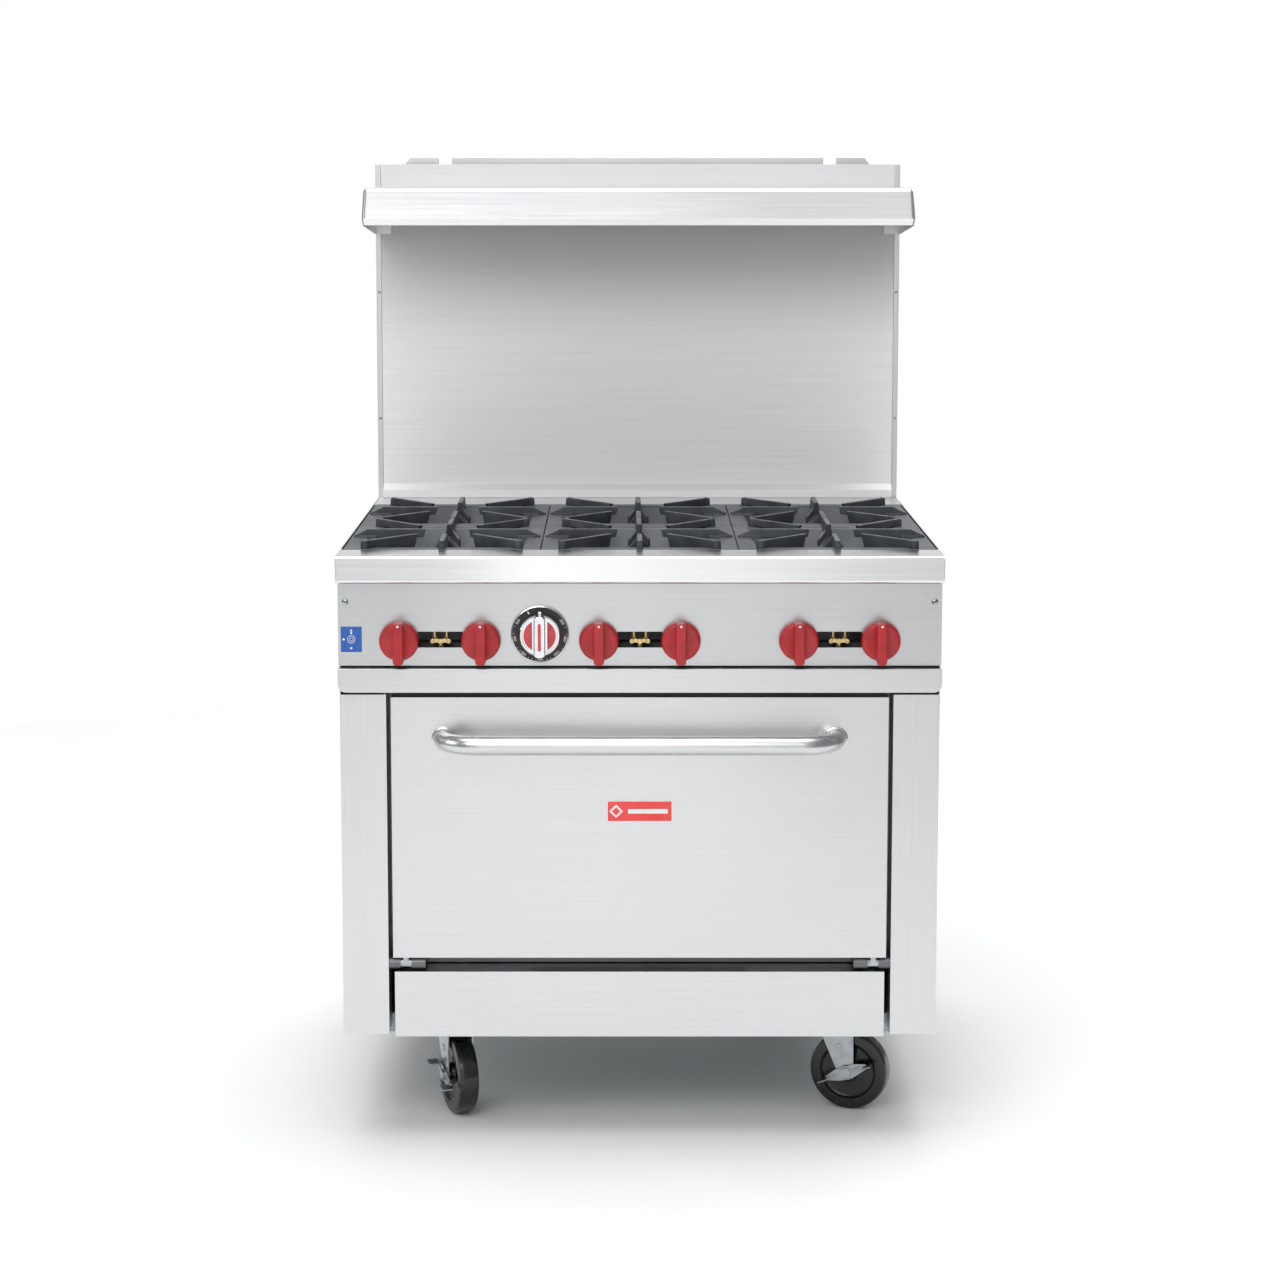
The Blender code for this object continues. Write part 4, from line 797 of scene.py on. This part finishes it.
# %% Screws
def slotted_screw(name, at, radius, turn):
    """A domed screw head with a slot, facing the front."""
    work = bmesh.new()
    tall = radius * 0.42
    join(work, spun([(0.0, tall), (radius * 0.5, tall * 0.92), (radius * 0.85, tall * 0.6),
                     (radius, tall * 0.15),
                     (radius, -0.0004), (0.0, -0.0004)], 32), slot=0)
    # the slot is a thin dark block: painted shade inside the groove
    groove = rounded_block((-radius * 0.9, -radius * 0.13, tall * 0.45),
                           (radius * 0.9, radius * 0.13, tall * 1.03))
    join(work, groove, Matrix.Rotation(turn, 4, "Z"), slot=1)
    finish_piece(name, work, [zinc, slot_painted_shade], "range", (), Matrix.Translation(at) @ STAND_UP)


PANEL_SCREW_X = 0.446
RISER_SCREW_X = 0.4525
panel_low, panel_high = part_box("control_panel")
riser_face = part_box("riser_side_right")[0].y
for side, word in ((-1, "left"), (1, "right")):
    at = (side * PANEL_SCREW_X, PANEL_FACE, panel_high.z - 0.028)
    slotted_screw(f"panel_screw_{word}", at, 0.0052, 0.5 * side)
    for level, place in ((1.284, "upper"), (1.063, "lower")):
        slotted_screw(f"riser_screw_{word}_{place}", (side * RISER_SCREW_X, riser_face, level), 0.0026, 0.8)

# %% Label beside the first knob
work = bmesh.new()
centre = (-0.437, panel_low.z + 0.0405)
half = (0.016, 0.0195)
corners = [(centre[0] + sx * half[0], centre[1] + sy * half[1]) for sx,
           sy in ((-1, -1), (1, -1), (1, 1), (-1, 1))]
join(work, plate(round_corners(corners, 0.0012), PANEL_FACE - 0.0004, PANEL_FACE + 0.0001, "Y"), slot=0)
face = PANEL_FACE - 0.00055
ring = spun([(0.0052, 0.0), (0.0052, 0.0003), (0.0060, 0.0003), (0.0060, 0.0)], 40, closed=True)
join(work, ring, Matrix.Translation((centre[0], PANEL_FACE - 0.0003, centre[1])) @ STAND_UP, slot=1)
ring = spun([(0.0022, 0.0), (0.0022, 0.0003), (0.0029, 0.0003), (0.0029, 0.0)], 32, closed=True)
join(work, ring, Matrix.Translation((centre[0], PANEL_FACE - 0.0003, centre[1])) @ STAND_UP, slot=1)
for dx, dz in ((-0.0115, 0.0), (0.0, 0.0135), (0.0, -0.0135), (0.0, 0.0095)):
    spot = (centre[0] + dx, centre[1] + dz)
    mark = rounded_block((spot[0] - 0.0014, face, spot[1] - 0.0014),
                         (spot[0] + 0.0014, PANEL_FACE - 0.0001, spot[1] + 0.0014))
    join(work, mark, slot=1)
finish_piece("plain_label", work, [label_blue, print_white], "range")

# %% Badge on the door
BADGE_Z = 0.523
DIAMOND_X = -0.036
door_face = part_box("door_outer_panel")[0].y
work = bmesh.new()
corners = [(sx * 0.0502, BADGE_Z + sy * 0.0166) for sx, sy in ((-1, -1), (1, -1), (1, 1), (-1, 1))]
join(work, plate(round_corners(corners, 0.0015), door_face - 0.0010, door_face + 0.0001, "Y", 0.0003), slot=1)
corners = [(sx * 0.0488, BADGE_Z + sy * 0.0152) for sx, sy in ((-1, -1), (1, -1), (1, 1), (-1, 1))]
join(work, plate(round_corners(corners, 0.0010), door_face - 0.0013, door_face - 0.0009, "Y"), slot=0)
for reach, lift, slot in ((0.0105, 0.0015, 1), (0.0105 * 0.62, 0.0017, 0)):
    diamond = [(DIAMOND_X, BADGE_Z - reach), (DIAMOND_X + reach, BADGE_Z), (DIAMOND_X, BADGE_Z + reach),
               (DIAMOND_X - reach, BADGE_Z)]
    join(work, plate(diamond, door_face - lift, door_face - lift + 0.0003, "Y"), slot=slot)
low, high = BADGE_Z - 0.0035, BADGE_Z + 0.0035
bar = round_corners([(-0.018, low), (0.043, low), (0.043, high), (-0.018, high)], 0.0012)
join(work, plate(bar, door_face - 0.0015, door_face - 0.0012, "Y"), slot=1)
finish_piece("plain_badge", work, [badge_red, print_white], "door")

# %% [markdown]
# ## Folded sheet with soft edges
# A press brake never leaves a knife edge: each fold has a small radius that catches a thin line of light. For the
# sheets whose shape is already right, a copy of the node is welded, its flat triangles are dissolved into whole
# faces, and every sharp edge is bevelled by half a millimetre. The node itself stays as it was and is only hidden.


# %% Soft-edged copies
FOLD_ANGLE = math.radians(35.0)
FOLD_RADIUS = 0.0005


def soft_copy(name, finish, body):
    """A welded copy of a node with bevelled folds."""
    work = bmesh.new()
    work.from_mesh(nodes[name].data)
    bmesh.ops.remove_doubles(work, verts=work.verts, dist=5e-6)
    bmesh.ops.dissolve_limit(work, angle_limit=math.radians(1.0), verts=work.verts, edges=work.edges,
                             delimit={"NORMAL"})
    folds = [edge for edge in work.edges if len(edge.link_faces) == 2 and edge.calc_face_angle() > FOLD_ANGLE]
    soften(work, folds, FOLD_RADIUS)
    bmesh.ops.triangulate(work, faces=[face for face in work.faces if len(face.verts) > 4])
    return finish_piece(name + "_folded", work, [finish], body, [name])


# Painted shade under the shelf: the riser darkens towards the top.
RISER_PAINTED_SHADE_BAND = (1.16, 1.45, 1.462, "c2c3c4")              # from 240 mm above the grates up to the shelf
# Painted light: the riser's near-white, mostly diffuse base brightens it where the shelf shades it; its band of painted
# shade darkens it towards the shelf.
steel_riser_painted_light_and_shade = brushed_steel("stainless_riser_painted_light_and_shade", "f8f8f8", "x", (0.30, 0.46), RISER_PAINTED_SHADE_BAND, metallic=0.15)
# Painted shade: a darker copy of the steel for the shelf's underside.
steel_painted_shade = brushed_steel("stainless_underside_painted_shade", "8a8b8c", "x", (0.34, 0.50))
# Painted shade: a darker copy of the steel for the control panel under the ledge.
steel_panel_painted_shade = brushed_steel("stainless_panel_painted_shade", "cfd0d1", "x", (0.26, 0.40))
# Painted highlight: a brighter copy of the steel for the ledge and the top of the shelf.
steel_painted_highlight = brushed_steel("stainless_painted_highlight", "ececed", "x", (0.18, 0.30))
sheets = [("control_panel", steel_panel_painted_shade, "range"), ("crumb_tray", steel_across, "crumb_tray"),
          ("door_outer_panel", steel_across, "door"), ("kick_panel", steel_across, "range"),
          ("side_panel_left", steel_upright, "range"), ("side_panel_right", steel_upright, "range"),
          ("riser_front_panel", steel_riser_painted_light_and_shade, "range"), ("riser_side_left", steel_upright, "range"),
          ("riser_side_right", steel_upright, "range"), ("riser_back_panel", steel_across, "range"),
          ("rear_deck", steel_across, "range")]
for name, finish, body in sheets:
    soft_copy(name, finish, body)

# %% [markdown]
# ## Bull-nosed ledge
# The front of the cooktop is one sheet rolled over into a bull nose and closed with a plate at each end. The sheet is
# a line of corners drawn out sideways, its folds bevelled into rolls of 4.4 mm radius and then given its thickness.

# %% Front ledge
SHEET = 0.0015
low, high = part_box("front_ledge")
seat = COOKTOP - 0.0103
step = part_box("grate_1")[0].y - 0.0005
path = [(high.y, low.z + 0.001), (high.y, seat), (step, seat), (step, high.z), (low.y, high.z), (low.y, low.z),
        (low.y + 0.046, low.z)]
work = bmesh.new()
join(work, folded_sheet(path, low.x + SHEET, high.x - SHEET, SHEET, 0.0044, 5))
for side in (low.x, high.x - SHEET):
    nose = round_corners([(low.y, low.z), (step - 0.001, low.z), (step - 0.001, high.z), (low.y, high.z)],
                         0.0052, 5)
    join(work, plate(nose, side, side + SHEET, "X", 0.0005))
finish_piece("bull_nose_ledge", work, [steel_painted_highlight], "range", ["front_ledge"])

# %% [markdown]
# ## High shelf
# The shelf is a shallow pan, open below and at the back, with a front lip that leans outwards and rounded corners. It
# starts as a cube whose corners are moved to the pan's places. The open faces are deleted, the folds are bevelled,
# the lower edge is drawn inwards as a hem, and the skin gets its thickness last.

# %% Shelf pan
low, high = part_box("shelf")
lean = 0.020
hem_drop = 0.011
pan = bmesh.new()
bmesh.ops.create_cube(pan, size=1.0)
for vert in pan.verts:
    front = vert.co.y < 0
    upper = vert.co.z > 0
    wide = (high.x if vert.co.x > 0 else low.x) * (0.9965 if upper else 1.0)
    vert.co = (wide, (low.y + (lean if upper else 0.0)) if front else high.y, high.z if upper
               else low.z + hem_drop)
pan.normal_update()
bmesh.ops.delete(pan, geom=[face for face in pan.faces if face.normal.z < -0.9 or face.normal.y > 0.9],
                 context="FACES")
soften(pan, [edge for edge in pan.edges if len(edge.link_faces) == 2], 0.0075, 5)
lower = [edge for edge in pan.edges if edge.is_boundary
         and all(vert.co.z < low.z + hem_drop + 1e-5 for vert in edge.verts)]
hem = bmesh.ops.extrude_edge_only(pan, edges=lower)["geom"]
hem_verts = points_in(hem)
bmesh.ops.translate(pan, vec=(0.0, 0.0, -hem_drop), verts=hem_verts)
for vert in hem_verts:
    vert.co.y += 0.004 * (1.0 if vert.co.y < low.y + 0.02 else 0.0)
    vert.co.x *= 0.996
bmesh.ops.recalc_face_normals(pan, faces=pan.faces)
top_face = max(pan.faces, key=lambda face: face.calc_area())
if top_face.normal.z < 0:
    bmesh.ops.reverse_faces(pan, faces=pan.faces)
bmesh.ops.solidify(pan, geom=list(pan.faces), thickness=SHEET)
pan.normal_update()
# Faces turned down, above the hem, take the darker steel: painted shade under the shelf.
for face in pan.faces:
    if face.normal.z < -0.3 and face.calc_center_median().z > low.z + 0.02:
        face.material_index = 1
finish_piece("shelf_pan", pan, [steel_painted_highlight, steel_painted_shade], "range", ["shelf"])

# %% [markdown]
# ## Towel-bar handle
# The handle is a 29 mm tube bent at both ends and welded to the door. It is one circle that travels: extruded straight,
# spun through a quarter turn round the bend's centre, extruded along the door, and so on to the other end.

# %% Door handle
low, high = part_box("door_handle")
tube = (high.z - low.z) / 2
bend = 0.055
level = (high.z + low.z) / 2
end_x = high.x - tube
work = bmesh.new()
bmesh.ops.create_circle(work, cap_ends=True, segments=40, radius=tube)
bmesh.ops.transform(work, matrix=Matrix.Translation((end_x, high.y,
                                                     level)) @ Matrix.Rotation(math.radians(90.0), 4, "X"),
                    verts=work.verts)
work.faces.ensure_lookup_table()
tip = work.faces[0]


def travel(vector):
    """Extrude the moving end straight."""
    global tip
    drawn = bmesh.ops.extrude_discrete_faces(work, faces=[tip])["faces"][0]
    bmesh.ops.translate(work, vec=vector, verts=drawn.verts)
    tip = drawn


def turn_tip(centre, angle):
    """Carry the moving end round a bend."""
    global tip
    last = bmesh.ops.spin(work, geom=[tip], cent=centre, axis=(0.0, 0.0, 1.0), angle=math.radians(angle),
                          steps=14, use_merge=False)["geom_last"]
    tip = next(item for item in last if isinstance(item, bmesh.types.BMFace))


bar_y = low.y + tube
travel((0.0, bar_y + bend - high.y, 0.0))
turn_tip((end_x - bend, bar_y + bend, level), -90.0)
travel((-2.0 * (end_x - bend), 0.0, 0.0))
turn_tip((-end_x + bend, bar_y + bend, level), -90.0)
travel((0.0, high.y - bar_y - bend, 0.0))
for side in (-1, 1):
    collar = spun([(tube + 0.0006, 0.0), (tube + 0.0006, 0.0015), (tube + 0.0022, 0.0010),
                   (tube + 0.0038, 0.0)], 40, closed=True)
    join(work, collar, Matrix.Translation((side * end_x, high.y, level)) @ STAND_UP)
finish_piece("towel_bar_handle", work, [steel_polished], "door", ["door_handle"], sharp=50.0)

# %% [markdown]
# ## Casters
# The range rolls on four 127 mm swivel casters. A pressed-steel fork hangs from a ball race and holds the wheel behind
# its stem, so the wheel trails. Wheel and race are spun profiles. The legs are tapered plates with a dimple that
# stiffens them, and a bolt with a washer and a hexagon on each side is the axle. The two front ones have a rocking brake
# lever with a wing at each end for the toe. Each caster is modelled with its stem on Z and then turned to its heading.

# %% Caster sizes
AXLE_Z = 0.0635
TRAIL = 0.040
LEG_OUT = 0.0215
CROWN_Z = 0.141
RACE_TOP = 0.1577
WHEEL_HALF = 0.016
CASTERS = {1: (-0.302, -0.180, -70.0), 2: (0.302, -0.180, -20.0), 3: (-0.302, 0.270, 60.0),
           4: (0.302, 0.270, 130.0)}


# %% Fork
def caster_fork():
    """Race, crown, two legs and the axle bolt."""
    work = bmesh.new()
    race = [(0.0, RACE_TOP), (0.0240, RACE_TOP), (0.0268, RACE_TOP - 0.0015), (0.0268, RACE_TOP - 0.0045),
            (0.0235, RACE_TOP - 0.0065),
            (0.0262, RACE_TOP - 0.0085), (0.0262, RACE_TOP - 0.0110), (0.0235, CROWN_Z + 0.004),
            (0.0, CROWN_Z + 0.004)]
    join(work, spun(race, 48))
    join(work, rounded_block((-0.014, -LEG_OUT, CROWN_Z), (TRAIL + 0.011, LEG_OUT, CROWN_Z + 0.005), 0.0012))
    leg = [(-0.0130, CROWN_Z + 0.0045), (TRAIL - 0.0115, AXLE_Z - 0.011), (TRAIL + 0.0115, AXLE_Z - 0.011),
           (TRAIL + 0.0105, CROWN_Z + 0.0045)]
    outline = round_corners(leg, 0.0035, 4)
    for side in (-1, 1):
        near, far = sorted((side * (LEG_OUT - 0.003), side * LEG_OUT))
        join(work, plate(outline, near, far, "Y", 0.0007))
        outer = side * LEG_OUT
        join(work, rounded_rod((0.026, outer - side * 0.001, 0.103), (0.026, outer + side * 0.0011, 0.103),
                               0.0062, 0.0009, 28))
        join(work, rounded_rod((TRAIL, outer - side * 0.0005, AXLE_Z), (TRAIL, outer + side * 0.0016, AXLE_Z),
                               0.0115, 0.0004, 32))
        if side > 0:
            join(work, rounded_rod((TRAIL, outer, AXLE_Z), (TRAIL, outer + 0.0078, AXLE_Z), 0.0095, 0.0010, 6))
    join(work, rounded_rod((TRAIL, -LEG_OUT - 0.0036, AXLE_Z), (TRAIL, -LEG_OUT - 0.0083, AXLE_Z), 0.0092,
                           0.0009, 6))
    join(work, rounded_rod((TRAIL, -LEG_OUT - 0.0084, AXLE_Z), (TRAIL, LEG_OUT + 0.0084, AXLE_Z), 0.0058,
                           0.0006, 24))
    return work


# %% Wheel
def caster_wheel():
    """Hub, web and tread as one spun profile about the axle."""
    half, radius = WHEEL_HALF, AXLE_Z
    side = [(0.0063, half), (0.0150, half), (0.0165, half - 0.0010), (0.0185, half - 0.0050),
            (0.0400, half - 0.0060),
            (0.0440, half - 0.0035), (0.0462, half - 0.0002), (0.0500, half), (radius - 0.0050, half),
            (radius - 0.0020, half - 0.0015),
            (radius - 0.0004, half - 0.0050), (radius, half - 0.0090)]
    shape = spun(side + [(place, -across) for place, across in side[::-1]], 80, closed=True)
    bmesh.ops.transform(shape, matrix=STAND_UP, verts=shape.verts)
    return shape


# %% Brake lever
def brake_lever():
    """A bow-shaped plate with a wing bent outwards at each end; its origin is on the axle."""
    work = bmesh.new()
    near, far = -LEG_OUT - 0.0033, -LEG_OUT - 0.0004
    outline = round_corners([(-0.036, -0.0035), (-0.016, -0.0100), (0.0, -0.0125), (0.016, -0.0100),
                             (0.036, -0.0035),
                             (0.036, 0.0035), (0.016, 0.0095), (-0.016, 0.0095), (-0.036, 0.0035)], 0.0022, 4)
    join(work, plate(outline, near, far, "Y", 0.0006))
    join(work, rounded_rod((0.0, near + 0.0005, 0.0), (0.0, near - 0.0014, 0.0), 0.0112, 0.0005, 28))
    for side in (-1, 1):
        ends = sorted((side * 0.031, side * 0.0465))
        join(work, rounded_block((ends[0], near - 0.0158, -0.0014), (ends[1], far, 0.0014), 0.0012, 3))
        rib = sorted((side * 0.014, side * 0.034))
        join(work, rounded_block((rib[0], near - 0.0012, -0.0022), (rib[1], near + 0.0005, 0.0022), 0.0009, 2))
    return work


# %% Put the casters under the range
ROCK = {1: ("left", 15.0), 2: ("right", -22.0)}
for number, (x, y, heading) in CASTERS.items():
    at = Matrix.Translation((x, y, 0.0)) @ Matrix.Rotation(math.radians(heading), 4, "Z")
    axle = at @ Matrix.Translation((TRAIL, 0.0, AXLE_Z))
    finish_piece(f"fork_pressed_{number}", caster_fork(), [zinc], f"caster_fork_{number}",
                 [f"caster_fork_{number}"], at)
    finish_piece(f"wheel_moulded_{number}", caster_wheel(), [tyre], f"caster_wheel_{number}",
                 [f"caster_wheel_{number}"], axle)
    if number in ROCK:
        word, angle = ROCK[number]
        lever_at = axle @ Matrix.Rotation(math.radians(angle), 4, "Y")
        finish_piece(f"brake_lever_{word}", brake_lever(), [zinc], f"caster_brake_{word}",
                     [f"caster_brake_{word}"], lever_at)

# %% [markdown]
# ## Floor, light and camera
# A pale matt floor and a pale surround give the steel something bright to reflect, as a product studio does. The floor
# is a disc that ends where the light on it is already white. A wide softbox stands in front and above, others light
# the left side, the top and the back, and a narrow one in front, unseen by the camera, draws a soft band down the
# middle. A wide sun from straight above fills the rest. The camera stands 4.7 m in front of the middle of the range,
# 1.5 m high, and looks 7 degrees down.

# %% Floor
FLOOR_RADIUS = 3.4
floor = drifting("studio_floor", "f4f4f3", "f8f8f7", 2.0, (0.7, 0.85))[0]
sheet = bmesh.new()
bmesh.ops.create_circle(sheet, cap_ends=True, segments=96, radius=FLOOR_RADIUS)
ground_mesh = bpy.data.meshes.new("studio_floor")
sheet.to_mesh(ground_mesh)
sheet.free()
ground = bpy.data.objects.new("studio_floor", ground_mesh)
ground_mesh.materials.append(floor)
bpy.context.scene.collection.objects.link(ground)
ground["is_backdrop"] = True

# %% Surround
world = bpy.data.worlds.new("pale_surround")
world.use_nodes = True
surround = world.node_tree.nodes["Background"]
surround.inputs["Strength"].default_value = 1.0
way = add_node(world, "ShaderNodeTexCoord")
axes = add_node(world, "ShaderNodeSeparateXYZ", links={"Vector": way.outputs["Generated"]})
sideways = add_node(world, "ShaderNodeMath", {"operation": "ABSOLUTE"}, {0: axes.outputs["X"]}).outputs[0]
walls = blend_colours(world, sideways, colour("e4e5e6"), colour("8b8d8f"), 0.10, 0.65)
seen = add_node(world, "ShaderNodeLightPath").outputs["Is Camera Ray"]
plain = add_node(world, "ShaderNodeMix", {"data_type": "RGBA", 7: (1.0, 1.0, 1.0, 1.0)}, {0: seen, 6: walls})
world.node_tree.links.new(plain.outputs[2], surround.inputs["Color"])
bpy.context.scene.world = world
bpy.context.scene.view_settings.view_transform = "Standard"


# %% Softboxes
def softbox(name, place, aim, width, height, watts):
    """A rectangular area light that faces a point."""
    light = bpy.data.lights.new(name, "AREA")
    light.shape = "RECTANGLE"
    light.size = width
    light.size_y = height
    light.energy = watts
    holder = bpy.data.objects.new(name, light)
    holder.location = place
    holder.rotation_euler = (Vector(aim) - Vector(place)).to_track_quat("-Z", "Y").to_euler()
    bpy.context.scene.collection.objects.link(holder)
    return holder


softbox("key_softbox", (-1.2, -4.2, 3.4), (0.0, 0.0, 0.8), 3.0, 1.8, 60.0)
softbox("side_softbox", (-4.2, -1.2, 2.2), (0.0, 0.0, 0.7), 2.2, 2.2, 30.0)
softbox("top_softbox", (0.6, 0.6, 4.4), (0.0, 0.0, 0.9), 3.0, 2.0, 25.0)
softbox("back_softbox", (2.6, 3.6, 2.6), (0.0, 0.2, 0.8), 2.0, 1.6, 30.0)
front_strip = softbox("front_strip", (-0.08, -3.4, 1.0), (-0.08, 0.0, 0.9), 0.55, 2.2, 2.6)
front_strip.visible_camera = False
sky = bpy.data.lights.new("sky_panel", "SUN")
sky.energy = 1.3
sky.angle = math.radians(50.0)
sky_holder = bpy.data.objects.new("sky_panel", sky)
sky_holder.rotation_euler = (math.radians(4.0), math.radians(-4.0), 0.0)
bpy.context.scene.collection.objects.link(sky_holder)

# %% Camera
LOOK_DOWN = 7.1                                         # degrees
camera_data = bpy.data.cameras.new("camera")
camera_data.sensor_width = 36.0
camera_data.lens = 80.6
camera_data.shift_x = 0.0129
camera_data.shift_y = -0.09
camera_data.clip_end = 60.0
camera = bpy.data.objects.new("camera", camera_data)
camera.location = (-0.0248, -4.66, 1.50)
camera.rotation_euler = (math.radians(90.0 - LOOK_DOWN), 0.0, 0.0)
bpy.context.scene.collection.objects.link(camera)
bpy.context.scene.camera = camera
print("camera", round(camera_data.lens, 1), "mm at", tuple(round(part, 2) for part in camera.location))

# %% [markdown]
# ## Sizes and the end
# The finished model must fill the same box as the skeleton; the last cell measures the finished model's box.

# %% Measure the finished model
low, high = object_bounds()
